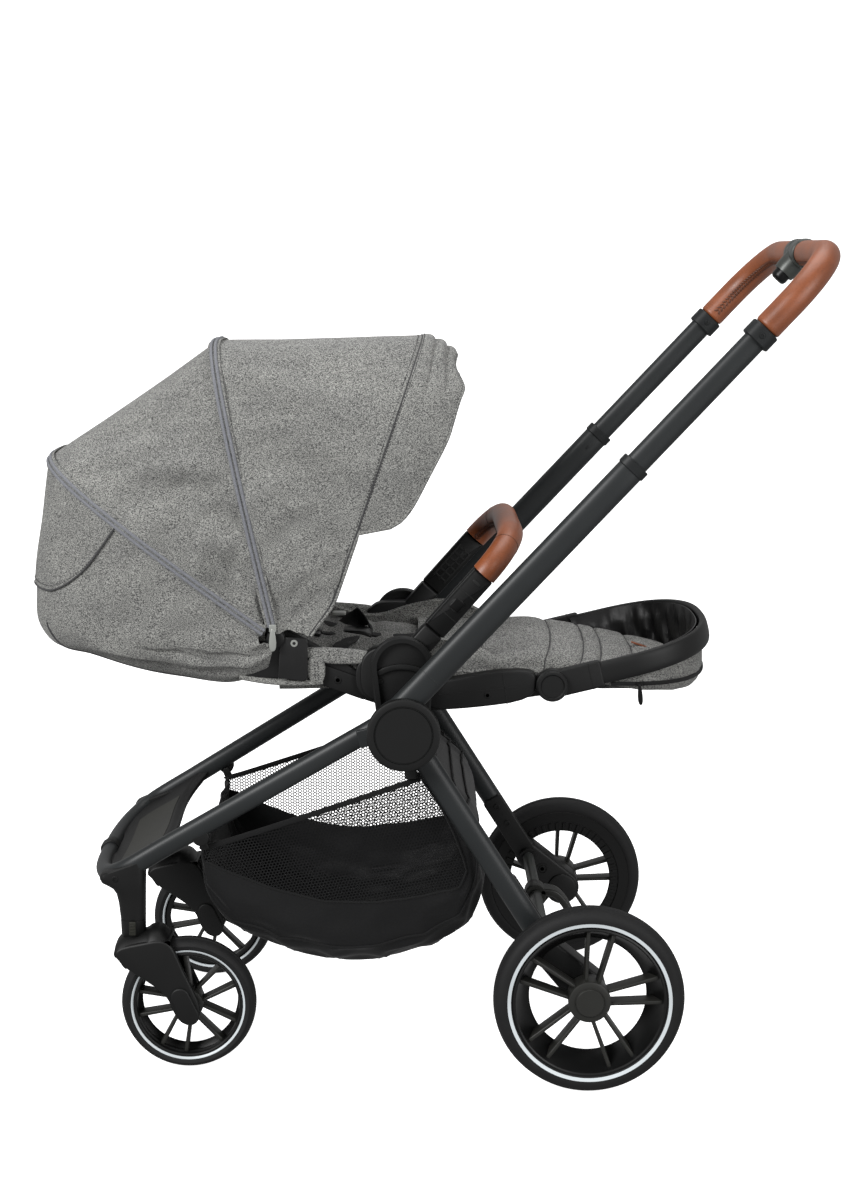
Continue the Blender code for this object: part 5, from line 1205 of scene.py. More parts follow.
def build_rear():
    """Axle arms around two discs, the round cross tube with its collars, and the brake pedal."""
    down = heading(REAR_ANGLE)
    cross = FOLD + down * CROSS_AT
    inner, outer = LEG_Y - 0.0115, REAR_Y - 0.0235
    for name, side in SIDES:
        arm = plate(link(cross, 0.0185, REAR_AXLE, 0.026), side * inner, side * outer, 0.004)
        shape = bar(FOLD + down * 0.246, FOLD + down * (CROSS_AT - 0.004), 0.031, 0.006)
        sleeve = plate(shape, side * (LEG_Y - 0.014), side * (LEG_Y - 0.003), 0.002)
        stub = rod(shifted(REAR_AXLE, side * (outer - 0.004)), shifted(REAR_AXLE, side * (REAR_Y + 0.006)),
            0.006)
        profile = [(0.0, 0.0), (0.0185, 0.0), (0.0215, -0.001), (0.0225, -0.003), (0.0225, -0.009)]
        drum = turned(profile, shifted(REAR_AXLE, side * (inner - 0.0045)), -Y * side, 64)
        shapes = [arm, sleeve, stub, drum]
        for r in (0.262, 0.292):
            shapes.append(screw(shifted(FOLD + down * r, side * (LEG_Y - 0.0141)), -Y * side, 0.0052))
        ringed = shifted(cross + (REAR_AXLE - cross) * 0.42, side * inner)
        shapes.append(screw(ringed, -Y * side, 0.0055))
        shapes.append(turned([(0.0068, 0.0), (0.0085, 0.0), (0.0085, 0.0014), (0.0068, 0.0014)], ringed,
                -Y * side, 32, ring=True))
        for k in range(6):
            d = heading(math.radians(165 + 22 * k))
            slot = bar(REAR_AXLE + d * 0.0105, REAR_AXLE + d * 0.0175, 0.0022, 0.0008)
            shapes.append(plate(slot, side * (inner - 0.0056), side * (inner - 0.002), 0.0003, 2))
        skin("axle_housing", name, shapes, "plastic", "rear_frame")
    tube = rod(shifted(cross, -inner + 0.0004), shifted(cross, inner - 0.0004), 0.0085, 0.0004, 40)
    piece("cross_tube_skin", [tube], "satin", "rear_frame", ["rear_cross_tube"], slot="steel")
    rings = [turned([(0.0088, 0.0), (0.0125, 0.0), (0.0125, 0.011), (0.0088, 0.011)], shifted(cross, y), Y,
            40, ring=True) for y in (-0.199, 0.188)]
    piece("cross_tube_collars", rings, "plastic", "rear_frame")
    y0, y1 = 0.003, 0.033
    tip = cross + heading(math.radians(-32)) * 0.06
    knee = cross + heading(math.radians(2)) * 0.027
    profile = [(0.0089, y0), (0.0142, y0), (0.0148, y0 + 0.001), (0.0148, y1 - 0.001), (0.0142, y1),
        (0.0089, y1)]
    clamp = turned(profile, shifted(cross, 0.0), Y, 48, ring=True)
    lever = curve([cross + heading(0.35) * 0.0112, knee, (knee + tip) / 2 + heading(0.6) * 0.003, tip], 24)
    arm = plate(ribbon(lever, 0.011), y0, y1, 0.003)
    lift = heading(0.9) * 0.004
    tread = bar(tip + lift, tip - heading(math.radians(-50)) * 0.018 + lift, 0.004, 0.0015)
    ribs = [plate(tread, y, y + 0.003, 0.0008, 2) for y in np.linspace(y0 + 0.004, y1 - 0.007, 4)]
    skin("brake_pedal", "", [clamp, arm] + ribs, "spoke", "brake")


def sewn_bow(name, top, body, inside):
    """A bow's zip: two cords side by side on a flat tape, along the arch from the pivots to the top."""
    line = clam([CANOPY], [top], CANOPY_HALF, 161, 0.045)[0][0]
    lane = lifted(line, inside, 0.002)
    across = unit(np.cross(top - CANOPY, Y))
    cords = [swept(lane + across * s, oval(0.0046, 0.0046, 2.0, 14), across) for s in (-0.0029, 0.0029)]
    piece("canopy_zip_" + name, cords, "piping", body)
    tape = swept(lifted(line, inside, 0.0004), oval(0.0165, 0.0026, 4.0, 20), across)
    piece("canopy_tape_" + name, [tape], "cloth", body)


def build_canopy():
    """Cloth panels draped between the bows, the visor, the back tub, the vent, the zips and the bows."""
    size = bpy.context.scene.pushchair_sizes
    count = 141
    inside = at(-0.2, 0.75)
    steps = np.linspace(0, 1, 49)[:, None]

    # The middle panel
    tops = REAR_TOP + (MID_TOP - REAR_TOP) * steps
    rows = draped(np.repeat(CANOPY[None], 49, 0), tops, count, 0.003, MIDDLE_FOLDS, inside)[0]
    chord = [CANOPY + (top - CANOPY) * 0.75 for top in (REAR_TOP, MID_TOP)]
    thing = skin("canopy_middle", "", [cloth(rows, size.cloth, inside)], "cloth", None,
        between=("seat", "canopy_mid", chord[0], chord[1]))
    declare_sheet(rows)

    # The front panel with its visor, stitches and hem
    bases = CANOPY + (at(-0.112, 0.58) - CANOPY) * steps
    tops = MID_TOP + (FRONT_TOP - MID_TOP) * steps
    rows, wide, high, out = draped(bases, tops, count, 0.0025, FRONT_FOLDS, inside, 0.018)
    tuck = ease((0.16 - high) / 0.16)[None] * steps ** 3
    rows = rows - X * (0.016 * tuck)[..., None] + Z * (0.002 * tuck)[..., None]
    seam = rows[-1]
    ahead_steps = np.linspace(0, 1, 41)[1:, None]
    spread = np.clip((high - 0.383) / 0.3, 0, 1) ** 0.17
    reach = 0.003 + 0.073 * spread * (1 - 0.32 * ease((high - 0.82) / 0.18))
    drop = math.radians(30) * ease((high - 0.8) / 0.2)
    ahead = X * np.cos(drop)[:, None] - Z * np.sin(drop)[:, None]
    upper = ease((high - 0.72) / 0.2)
    scallop = np.abs(np.sin(ahead_steps * math.pi * 3)) ** 0.6
    lift = scallop * 0.005 * upper + 0.004 * np.sin(ahead_steps * math.pi) * ease((high - 0.4) / 0.2)
    phase = ahead_steps * 5 + 60 * np.linspace(0, 1, count)
    hem = 0.0016 * np.sin(phase) * ahead_steps ** 2 * ease((high - 0.35) / 0.1)
    visor = (seam + ahead * (ahead_steps * reach)[..., None] + out[-1] * (lift + hem)[..., None]
        - Y * (np.sign(wide) * ahead_steps * reach * 0.12)[..., None])
    rows = np.concatenate([rows, visor])
    chord = [CANOPY + (MID_TOP - CANOPY) * 0.75, CANOPY + (FRONT_TOP - CANOPY) * 0.7]
    front = ("canopy_mid", "canopy_fore", chord[0], chord[1])
    thing = skin("canopy_front", "", [cloth(rows, size.cloth, inside)], "cloth", None, between=front)
    declare_sheet(rows)
    facing = out[-1]
    groove = swept(lifted(rows[48], inside, 0.0002), oval(0.0022, 0.0016, 2.0, 10),
        np.cross(FRONT_TOP - CANOPY, Y))
    sewn = [groove]
    for row in (47, 49):
        sewn += topstitch(lifted(rows[row], inside, 0.0004), facing)
    hem_line = rows[-1] * 0.92 + rows[-5] * 0.08
    for share in (0.15, 0.55):
        sewn += topstitch(lifted(rows[-1] * (1 - share) + rows[-4] * share, inside, 0.0005), facing)
    piece("canopy_stitches", sewn, "thread", None, between=front)
    binding = swept(hem_line, oval(0.0042, 0.0038, 2.0, 12), X)
    piece("canopy_hem", [binding], "cloth", None, between=front)

    # The back tub and its vent
    tops = curve(TUB_LINE, 90)
    rows, _, high, out = draped(np.repeat(CANOPY[None], 90, 0), tops, count, 0.0015, TUB_FOLDS, inside)
    thing = skin("back_tub", "", [cloth(rows, size.cloth, inside)], "cloth", "seat")
    declare_sheet(rows)
    low_edge = np.argmax(high > 0.915)
    seams = [swept(lifted(rows[34:88, column], inside, 0.0004), oval(0.0026, 0.0026, 2.0, 10), Y)
        for column in (low_edge, -1 - low_edge)]
    columns = np.where(high > 0.66)[0]
    edge = 0.29 * (1 - (1 - np.clip((high[columns] - 0.66) / 0.34, 0, 1)) ** 2.8) + 0.012
    where = edge[None] * np.linspace(0.01, 1, 24)[:, None] * (len(rows) - 1)
    low = np.clip(where.astype(int), 0, len(rows) - 2)
    part = (where - low)[..., None]
    flap = rows[low, columns[None]] * (1 - part) + rows[low + 1, columns[None]] * part
    flap = lifted(flap, inside, 0.0022)
    thing = piece("vent_flap", [cloth(flap, 0.0016, inside)], "cloth", "seat")
    declare_sheet(flap)
    sewn = topstitch(lifted(flap[-2], inside, 0.0004), out[20, columns])
    piece("vent_stitches", sewn, "thread", "seat")
    cord = swept(lifted(flap[-1], inside, 0.0004), oval(0.0026, 0.0022, 2.0, 10), Z)
    piece("vent_edge", [cord] + seams, "thread", "seat")
    sewn_bow("rear", REAR_TOP, "seat", inside)
    sewn_bow("mid", MID_TOP, "canopy_mid", inside)

    # Zip pulls and bows
    for name, side in SIDES:
        spot = shifted(CANOPY + heading(math.radians(100)) * 0.016, side * 0.1995)
        shape = bar(spot + Z * 0.005, spot - Z * 0.005, 0.009, 0.001)
        slider = plate(shape, spot[1] - 0.002, spot[1] + 0.002, 0.0008)
        shape = eased([flat(spot + X * 0.003), flat(spot - X * 0.003), flat(spot - X * 0.0058 - Z * 0.03),
                flat(spot + X * 0.0058 - Z * 0.03)], 2)
        tag = plate(shape, spot[1] + side * 0.001, spot[1] + side * 0.0032, 0.0008)
        piece("zip_pull_" + name, [slider, tag], "chrome", "seat")
    for name, top, reach in (("front", FRONT_TOP, 0.4187), ("mid", MID_TOP, 0.378)):
        wide, high = canopy_arch(121, 0.0)
        along = unit(top - CANOPY)
        w = 0.1747 if name == "front" else 0.1788
        path = CANOPY + along * (reach * high)[:, None] + Y * (w * wide)[:, None]
        bow = swept(path[2:-2], oval(0.009, 0.0034, 4.0, 16), np.cross(along, Y))
        eyes = [plate(link(CANOPY, 0.012, CANOPY + along * 0.06, 0.0055), side * (w - 0.0019),
                side * (w + 0.0019), 0.0008) for _, side in SIDES]
        body = "canopy_fore" if name == "front" else "canopy_mid"
        skin("canopy_bow", name, [bow] + eyes, "plastic", body)


def build_seat_cloth():
    """The seat pad with its sides, the quilted leg rest, its leather lining and its zipped bag."""
    line = through(((-0.44, 0.612), (-0.3, 0.585), (-0.19, 0.562), (-0.12, 0.546), (-0.01, 0.531),
            (0.09, 0.528), (0.172, 0.53)), 73)
    walked = distances(line)
    narrow, wide, deep, pitch, groove, groove_width = 0.126, 0.1612, 0.034, 0.062, 0.0052, 0.0042
    rows = []
    for spot, gone in zip(line, walked):
        share = min(1.0, max(0.0, (spot[0] - CANOPY[0] + 0.05) / 0.08))
        half = narrow + (wide - narrow) * share
        channel = groove * math.exp(-((gone % pitch) - pitch / 2) ** 2 / groove_width ** 2 / 2)
        o = oval(2 * half, deep - 2 * channel, 4.0, 72)
        crown = 0.004 * (1 - (o[:, 0] / half) ** 2) * (o[:, 1] > 0)
        rows.append(spot + Y * o[:, :1] + Z * (o[:, 1] + crown)[:, None])
    thing = plumped("seat_pad_skin", patch(rows, wrap=True, ends=True), "cloth", "seat", ["seat_pad"])

    # Its sides
    brim = through(((-0.165, 0.572), (-0.0975, 0.5686), (-0.0608, 0.5569), (-0.0354, 0.5568),
            (0.0107, 0.5722), (0.0521, 0.5787), (0.0876, 0.5737), (0.1035, 0.5669), (0.1194, 0.5575),
            (0.1353, 0.548), (0.1486, 0.542), (0.185, 0.539)), 81)
    walls, sewn = [], []
    for _, side in SIDES:
        u = np.linspace(0, 1, 81)[None]
        v = np.linspace(0, 1, 15)[:, None]
        wave = 0.0022 * np.sin(u * 21 + 1.2 * v) * np.sin(v * math.pi)
        height = brim[None, :, 2] * (1 - v) + 0.516 * v
        width = 0.1628 - 0.018 * v ** 1.6 + wave - 0.004 * np.exp(-v * 12)
        wall = np.stack([np.repeat(brim[None, :, 0], 15, 0), side * width, height], axis=2)
        walls.append(cloth(wall, 0.006, shifted(at(0.0, 0.6), side * 0.3)))
        sewn += topstitch(wall[1] + Y * (side * 0.0008) + Z * 0.0006, np.repeat((Y * side)[None], 81, 0))
    thing = piece("seat_sides", walls, "cloth", "seat")
    piece("seat_side_stitches", sewn, "thread", "seat")

    # The quilt over the leg rest
    slope, normal = heading(REST_SLOPE), heading(REST_SLOPE + math.pi / 2)
    spine = through(((0.02, 0.5505), (0.075, 0.549), (0.128, 0.5495), (0.1848, 0.5515), (0.219, 0.5465),
            (0.259, 0.5395), (0.31, 0.529), (0.345, 0.5225), (0.374, 0.5185)), 121)
    walked = distances(spine)
    up = np.cross(np.gradient(spine, axis=0), Y)
    up *= np.sign(up[:, 2:]) / np.linalg.norm(up, axis=1)[:, None]
    turn = np.sin(np.linspace(-math.pi / 2, math.pi / 2, 71))
    ahead = spine[:, 0] - LEGREST[0]
    rounding = np.maximum(0.0, 1 - (np.maximum(ahead - 0.1, 0) / 0.1) ** 2.6)
    half = np.maximum(0.163 * np.minimum(1.0, rounding) ** (1 / 2.6), 0.06)
    stations = np.interp([FOLD[0] + dx for dx in (-0.05, 0.04, 0.112, 0.204, 0.25, 0.274, 0.318, 0.4)],
        spine[:, 0], walked)
    stations[0], stations[-1] = -0.07, walked[-1] + 0.05
    skewed = walked[:, None] - 0.01 * turn[None] + 0.008 * turn[None] ** 2
    cell = np.clip(np.searchsorted(stations, skewed) - 1, 0, len(stations) - 2)
    phase = (skewed - stations[cell]) / (stations[cell + 1] - stations[cell])
    puff = 0.0055 * np.maximum(0.0, 1 - np.abs(2 * phase - 1) ** 6) ** 0.6
    away = np.abs(turn[None])
    crown = 0.003 * (1 - away ** 4) - 0.004 * away ** 16 - 0.012 * away ** 70
    rows = spine[:, None] + Y * (half[:, None] * turn)[..., None] + up[:, None] * (puff + crown)[..., None]
    bridge = ("seat", "legrest", at(0.165, 0.545), LEGREST + slope * 0.035)
    quilt = cloth(rows, 0.006, at(0.2, 0.0))
    thing = piece("legrest_quilt", [quilt], "cloth", None, sharp=PLUMP_EDGE, between=bridge)
    # Dark thread cords along the quilt's channels: partly the sewn seams, partly painted shade standing in
    # for the dark creases between the puffs.
    seam_and_shade_lines = []
    for station in stations[2:-1]:
        where = np.interp(station + 0.01 * turn - 0.008 * turn ** 2, walked, np.arange(121.0))
        low = np.minimum(where.astype(int), 119)
        part = (where - low)[:, None]
        spots = rows[low, np.arange(71)] * (1 - part) + rows[low + 1, np.arange(71)] * part
        seam_and_shade_lines.append(swept(spots + Z * 0.0004, oval(0.0012, 0.0019, 2.0, 8), Z))
    piece("legrest_channels", seam_and_shade_lines, "thread", None, between=bridge)
    tag = rounded_bar([at(0.3236 + 0.0125 * k, 0.5375 - 0.0042 * k, 0.05) for k in range(3)], 0.011, 0.0016,
        Y, 4.0, 0.0008, 20)
    piece("legrest_tag", [tag], "leather", "legrest", sharp=HARD_EDGE)

    # The lining inside the leg rest's bar
    bar_line = rest_path(0.1728, 0.055, 0.219, 0.096, 81)
    v = np.linspace(0, 1, len(bar_line))
    middle = LEGREST + slope * 0.1
    inward = middle - bar_line
    inward -= normal * (inward @ normal)[:, None]
    inward = unit(inward)
    rows = []
    for sink in np.linspace(0, 1, 20):
        depth = np.maximum(0.013 - 0.075 * sink, (0.512 - bar_line[:, 2]) * 0.97 + 0.02 * (1 - sink))
        fold = ripple(v, sink, LINING_FOLDS) * math.sin(sink * math.pi * 0.95)
        gap = 0.0012 + 0.006 * min(1.0, 4 * sink) + 0.008 * sink ** 2 + fold
        rows.append(bar_line + normal * depth[:, None] + inward * gap[:, None])
    thing = piece("legrest_lining", [cloth(rows, 0.0014, middle)], "lining", "legrest")
    declare_sheet(rows)

    # The bag below it, with its zip
    rim = rest_path(0.1745, 0.066, 0.2205, 0.096, 81)
    middle = LEGREST + slope * 0.13
    base = np.interp(rim[:, 0] - FOLD[0], (0.255, 0.268, 0.304, 0.36, 0.39, 0.412),
        (0.524, 0.5205, 0.5145, 0.5085, 0.509, 0.515))
    rows = []
    for drop, pull in ((0.0, -0.002), (0.03, -0.004), (0.15, -0.007), (0.35, -0.009), (0.6, -0.006),
            (0.75, 0.0), (0.87, 0.014), (0.96, 0.038), (1.0, 0.08), (1.0, 0.12), (1.0, 0.3), (1.0, 0.6),
            (1.0, 0.96)):
        ring = rim + (middle - rim) * pull - normal * 0.012
        ring[:, 2] = ring[:, 2] * (1 - drop) + (base * (1 - pull) + 0.512 * pull) * drop
        rows.append(ring)
    rows = np.array(rows)
    dent = ripple(np.linspace(0, 1, len(rows))[:, None], np.linspace(0, 1, len(rim))[None], BAG_DENTS)
    rows = rows + (rows - middle) * (dent / 0.2)[..., None]
    thing = skin("legrest_pad", "", [cloth(rows, 0.003, middle)], "cloth", "legrest")
    zip_line = rest_path(0.1785, 0.08, 0.224, 0.1, 81)
    zip_line[:, 2] = 0.525
    piece("legrest_zip", [swept(zip_line, oval(0.0056, 0.003, 3.0, 12), Z)], "strap", "legrest")
    for name, side in SIDES:
        spot = at(0.3101, 0.525, side * 0.18)
        shape = bar(spot - X * 0.004, spot + X * 0.004, 0.006, 0.001)
        slider = plate(shape, spot[1] - 0.0018, spot[1] + 0.0018, 0.0006)
        shape = eased([flat(spot + X * 0.0024), flat(spot - X * 0.0024), flat(spot - X * 0.002 - Z * 0.028),
                flat(spot + X * 0.006 - Z * 0.028)], 2)
        pull = plate(shape, spot[1] + side * 0.0008, spot[1] + side * 0.003, 0.0008)
        piece("legrest_pull_" + name, [slider, pull], "gloss", "legrest")


def build_basket():
    """The basket's tub and nets as rows hung from a sloping rim, with bindings and hangers."""
    size = bpy.context.scene.pushchair_sizes
    front, peak, last = at(-0.268, 0.306), at(0.016, 0.405), at(0.0973, 0.3347)
    line = [front - Z * 0.006, at(-0.2682, 0.2668), at(-0.2429, 0.1945), at(-0.1769, 0.1547),
        at(-0.082, 0.13), at(0.0014, 0.1375), at(0.0886, 0.1822), at(0.1107, 0.2473), at(0.1093, 0.279),
        last, peak + (last - peak) * 0.1]
    tops = curve(line, 81)
    share = np.clip((tops[:, 0] - front[0]) / (peak[0] - front[0]), 0, 1)
    rims = front + (peak - front) * share[:, None]
    inside, power, half = at(-0.08, 0.36), 8.0, 0.1842
    probe = np.linspace(0, 1, 101)
    spots = rims[:, None] + (tops - rims)[:, None] * probe[None, :, None]
    seam_at = (-0.2636, -0.2372, -0.2108, -0.1683, -0.1257, -0.0723, 0.0133, 0.0775, 0.1042)
    seam_high = (0.2894, 0.2744, 0.2616, 0.2448, 0.2336, 0.2267, 0.2359, 0.2513, 0.2579)
    seam = np.interp(spots[..., 0] - FOLD[0], seam_at, seam_high)
    under = spots[..., 2] < seam
    part = np.where(under.any(axis=1), probe[under.argmax(axis=1)], 0.1)
    part = np.clip(np.convolve(np.pad(part, 4, "edge"), np.full(9, 1 / 9), "valid"), 0.1, 0.75)
    edge = np.arcsin(part ** (power / 2))[:, None]
    brink = math.asin(0.03 ** (power / 2))

    def hung(turn):
        """Rows of the basket: from the rim at turn 0 under the bottom to the far rim, creased inwards."""
        turn = np.broadcast_to(turn, (81, np.shape(turn)[-1]))
        high = np.sin(turn) ** (2 / power)
        wide = -np.sign(np.cos(turn)) * np.abs(np.cos(turn)) ** (2 / power)
        rows = rims[:, None] + (tops - rims)[:, None] * high[..., None] + Y * (half * wide)[..., None]
        out = unit(rows - inside)
        crease = ripple(np.linspace(0, 1, 81)[:, None], turn / math.pi, BASKET_CREASES)
        return rows - out * (np.abs(crease) * high ** 2)[..., None]

    tub = hung(edge + (math.pi - 2 * edge) * np.linspace(0, 1, 101))
    thing = piece("basket_tub", [cloth(tub, size.cloth, inside)], "basket", "chassis", ["storage_basket"])
    declare_sheet(tub)
    side_net = brink + (edge - brink) * np.linspace(0, 1, 41)
    for name, turn, angle in (("left", side_net, 20), ("right", math.pi - side_net, 0)):
        rows = hung(turn)
        points, faces, _ = cloth(rows, 0.001, inside)
        c, s = math.cos(math.radians(angle)), math.sin(math.radians(angle))
        laid = points[:, [0, 2]] @ np.array([[c, s], [-s, c]])
        thing = piece("basket_net_" + name, [(points, faces, laid)], "net", "chassis")
        declare_sheet(rows)
    keel = math.acos(0.955 ** (power / 2))
    tapes = []
    for turn, outline in ((np.full((81, 1), brink), oval(0.0036, 0.0075, 3.0, 14)),
            (edge, oval(0.0032, 0.0032, 2.0, 12)), (np.full((81, 1), keel), oval(0.0034, 0.0034, 2.0, 12))):
        for lane in (turn, math.pi - turn):
            tapes.append(swept(lifted(hung(lane)[:, 0], inside, 0.0004), outline, Y))
    across = hung(np.linspace(brink, math.pi - brink, 141))
    tapes.append(swept(across[0], oval(0.0034, 0.01, 3.0, 14), X))
    for row in (-1, -4, -7, -10):
        tapes.append(swept(lifted(across[row], inside, 0.0006), oval(0.0036, 0.0052, 2.4, 12), X))
    piece("basket_binding", tapes, "strap", "chassis")
    hangers = []
    for _, side in SIDES:
        path = [at(0.01, 0.4, side * 0.1905), at(0.008, 0.425, side * 0.1905),
            at(0.003, 0.448, side * 0.196)]
        hangers.append(swept(curve(path, 12), oval(0.0024, 0.016, 4.0, 12), Y))
        hangers.append(plate(disc(at(-0.2685, 0.3223), 0.0115), side * 0.1866, side * 0.199, 0.002))
        hangers.append(plate(bar(at(-0.27, 0.319), at(-0.263, 0.303), 0.011, 0.002), side * 0.1846,
                side * 0.189, 0.0012))
        hangers.append(screw(at(-0.2685, 0.3223, side * 0.1866), -Y * side, 0.0045))
    piece("basket_hangers", hangers, "plastic", "chassis", sharp=SOFT_EDGE)


def build_harness():
    """Harness straps, pads and buckle, and the small strips and flaps beside the seat."""
    straps, pads, fittings = [], [], []
    for side in (-1, 1):
        path = through(((-0.34, 0.618, side * 0.05), (-0.22, 0.592, side * 0.052),
                (-0.13, 0.571, side * 0.045), (-0.07, 0.56, side * 0.016)), 30)
        straps.append(swept(path, oval(0.0032, 0.024, 4.0, 14), Z))
        hip = through(((-0.07, 0.56, side * 0.016), (-0.075, 0.564, side * 0.08),
                (-0.085, 0.563, side * 0.135), (-0.088, 0.55, side * 0.15)), 24)
        straps.append(swept(hip, oval(0.003, 0.022, 4.0, 14), Z))
        path = through(((-0.27, 0.612, side * 0.06), (-0.19, 0.592, side * 0.066),
                (-0.112, 0.574, side * 0.07)), 20)
        swell = np.sin(np.linspace(0.25, math.pi - 0.25, 20)) ** 0.4
        pads.append(swept(path, np.stack([oval(0.016 * s, 0.048 * s, 3.0, 24) for s in swell]), Z))
    standing = through(((-0.098, 0.556, 0.055), (-0.08, 0.569, 0.05), (-0.062, 0.573, 0.045),
            (-0.05, 0.566, 0.04), (-0.044, 0.552, 0.04)), 24)
    straps.append(swept(standing, oval(0.0034, 0.03, 4.0, 14), X))
    straps.append(swept(through(((0.03, 0.557), (-0.02, 0.556), (-0.06, 0.56)), 16),
            oval(0.0032, 0.026, 4.0, 14), Z))
    piece("harness_straps", straps, "strap", "seat")
    for dx, z, y in ((-0.09, 0.562, -0.05), (-0.07, 0.56, -0.06), (-0.094, 0.569, 0.11)):
        spot = at(dx, z, y)
        fittings.append(rounded_bar([spot - Y * 0.01, spot, spot + Y * 0.01], 0.0045, 0.02, Z, 4.0, 0.0014,
                20))
    thing = piece("harness_pads", pads, "lining", "seat")
    piece("harness_fittings", fittings, "chrome", "seat")
    shell = side_shape(((-0.088, 0.555), (-0.088, 0.568), (-0.045, 0.566), (-0.045, 0.553)), 2)
    piece("harness_buckle", [plate(shell, -0.021, 0.021, 0.003)], "gloss", "seat")
    flaps, strips, sewn = [], [], []
    for name, side in SIDES:
        band = side_shape(((-0.15, 0.574), (-0.127, 0.574), (-0.088, 0.5736), (-0.036, 0.568),
                (-0.036, 0.553), (-0.0535, 0.552), (-0.1026, 0.552), (-0.127, 0.5612), (-0.15, 0.562)), 2)
        strips.append(plate(band, side * 0.169, side * 0.183, 0.0045, 6))
        loop = side_shape(((-0.1275, 0.564), (-0.102, 0.563), (-0.103, 0.5255), (-0.1255, 0.529)), 2)
        strips.append(plate(loop, side * 0.18, side * 0.1846, 0.0016))
        under = through(((-0.215, 0.534, side * 0.17), (-0.175, 0.5285, side * 0.1745),
                (-0.135, 0.5275, side * 0.177), (-0.106, 0.529, side * 0.177)), 24)
        strips.append(swept(under, oval(0.014, 0.008, 3.0, 20), Y))
        for dx in (-0.1165, -0.1125):
            line = np.linspace(at(dx, 0.558, side * 0.1849), at(dx + 0.001, 0.531, side * 0.1849), 20)
            sewn += topstitch(line, np.repeat((Y * side)[None], 20, 0))
        shape = side_shape(((-0.161, 0.586), (-0.154, 0.59), (-0.1262, 0.588), (-0.1252, 0.585),
                (-0.125, 0.537), (-0.13, 0.531), (-0.1625, 0.5355), (-0.164, 0.538)), 0)
        flaps.append(plate(shape, side * 0.186, side * 0.189, 0.001))
        shape = side_shape(((-0.235, 0.58), (-0.13, 0.586), (-0.124, 0.534), (-0.18, 0.532), (-0.235, 0.54)),
            1)
        flaps.append(plate(shape, side * 0.174, side * 0.1765, 0.001))
        profile = [(0.0022, 0.0), (0.0044, 0.0), (0.0048, 0.0006), (0.0044, 0.0012), (0.0022, 0.0012)]
        rivet = turned(profile, at(-0.1426, 0.5819, side * 0.1888), Y * side, 32, ring=True)
        piece("seat_rivet_" + name, [rivet], "chrome", "seat")
    thing = piece("seat_strips", strips, "cloth", "seat")
    piece("seat_strip_stitches", sewn, "thread", "seat")
    piece("seat_flaps", flaps, "lining", "seat")


def paper(name, rows, material, hidden_from):
    """A sheet of studio paper from a grid of points, unseen by the kinds of ray that are named."""
    points, faces, _ = patch(rows)
    mesh = bpy.data.meshes.new(name)
    mesh.from_pydata(points, [], faces)
    mesh.shade_smooth()
    mesh.materials.append(material)
    sheet = bpy.data.objects.new(name, mesh)
    bpy.context.scene.collection.objects.link(sheet)
    for ray in hidden_from:
        setattr(sheet, "visible_" + ray, False)
    return sheet


# The point that the lights face
STAGE_MIDDLE = (0.0, 0.0, 0.6)


def area_light(name, place, power, width):
    """A square soft light that faces the middle of the object."""
    lamp = bpy.data.lights.new(name, "AREA")
    lamp.energy = power
    lamp.size = width
    thing = bpy.data.objects.new(name, lamp)
    bpy.context.scene.collection.objects.link(thing)
    thing.location = place
    gaze = np.array(STAGE_MIDDLE) - place
    level = math.hypot(gaze[0], gaze[1])
    thing.rotation_euler = (math.atan2(level, -gaze[2]), 0.0, math.atan2(gaze[1], gaze[0]) - math.pi / 2)


def build_stage():
    """A paper floor that curves up into a backdrop, a pale surround, three area lights and the camera."""
    scene = bpy.context.scene
    white = tuple(scene.pushchair_colours.floor)
    pale = Finish("studio_paper", white, 0.95, Emission_Color=(1, 1, 1, 1), Emission_Strength=0.92)
    pale.colour(pale.ramp(pale.noise(pale.place["Object"], 0.7),
            ((0.3, shade(white, 0.985)), (0.7, white))))

    front, back, bend, height, wide = -6.0, 3.2, 1.6, 6.0, 8.0
    turn = np.linspace(0, math.pi / 2, 16)[1:]
    y = np.concatenate([np.linspace(front, back, 12), back + bend * np.sin(turn), np.full(6, back + bend)])
    z = np.concatenate([np.zeros(12), bend - bend * np.cos(turn), np.linspace(2.2, height, 6)])
    x, y = np.meshgrid(np.linspace(-wide, wide, 9), y)
    z = np.repeat(z[:, None], 9, 1)
    sweep = paper("studio_sweep", np.stack([x, y, z], axis=2), pale.material, ("diffuse", "glossy"))

    radius, levels = 5.9, (0.0, 3.5, 7.0)
    turn = np.linspace(0, 2 * math.pi, 97)
    rows = [np.stack([radius * np.cos(turn), radius * np.sin(turn), np.full(97, level)], axis=1)
        for level in levels]
    surround = paper("studio_surround", rows, pale.material,
        ("diffuse", "glossy", "transmission", "volume_scatter", "shadow"))
    world = scene.world or bpy.data.worlds.new("studio")
    scene.world = world
    world.use_nodes = True
    sky = world.node_tree.nodes["Background"]
    sky.inputs["Color"].default_value = (1, 1, 1, 1)
    sky.inputs["Strength"].default_value = 0.4
    area_light("key_light", (-2.5, -2.7, 2.5), 175, 1.8)
    area_light("fill_light", (2.6, -2.8, 1.5), 70, 2.2)
    area_light("top_light", (0.4, 0.3, 3.2), 42, 2.2)
    lens = bpy.data.cameras.new("camera")
    lens.lens, lens.sensor_width, lens.clip_end = 61.34, 36.0, 60.0
    camera = bpy.data.objects.new("camera", lens)
    camera.location = (-0.02275, -2.8093, 1.0839)
    camera.rotation_euler = (math.radians(90 - 9.638), 0.0, math.radians(-0.5728))
    scene.collection.objects.link(camera)
    scene.camera = camera
    scene.view_settings.view_transform = "Standard"


# Panel and operators


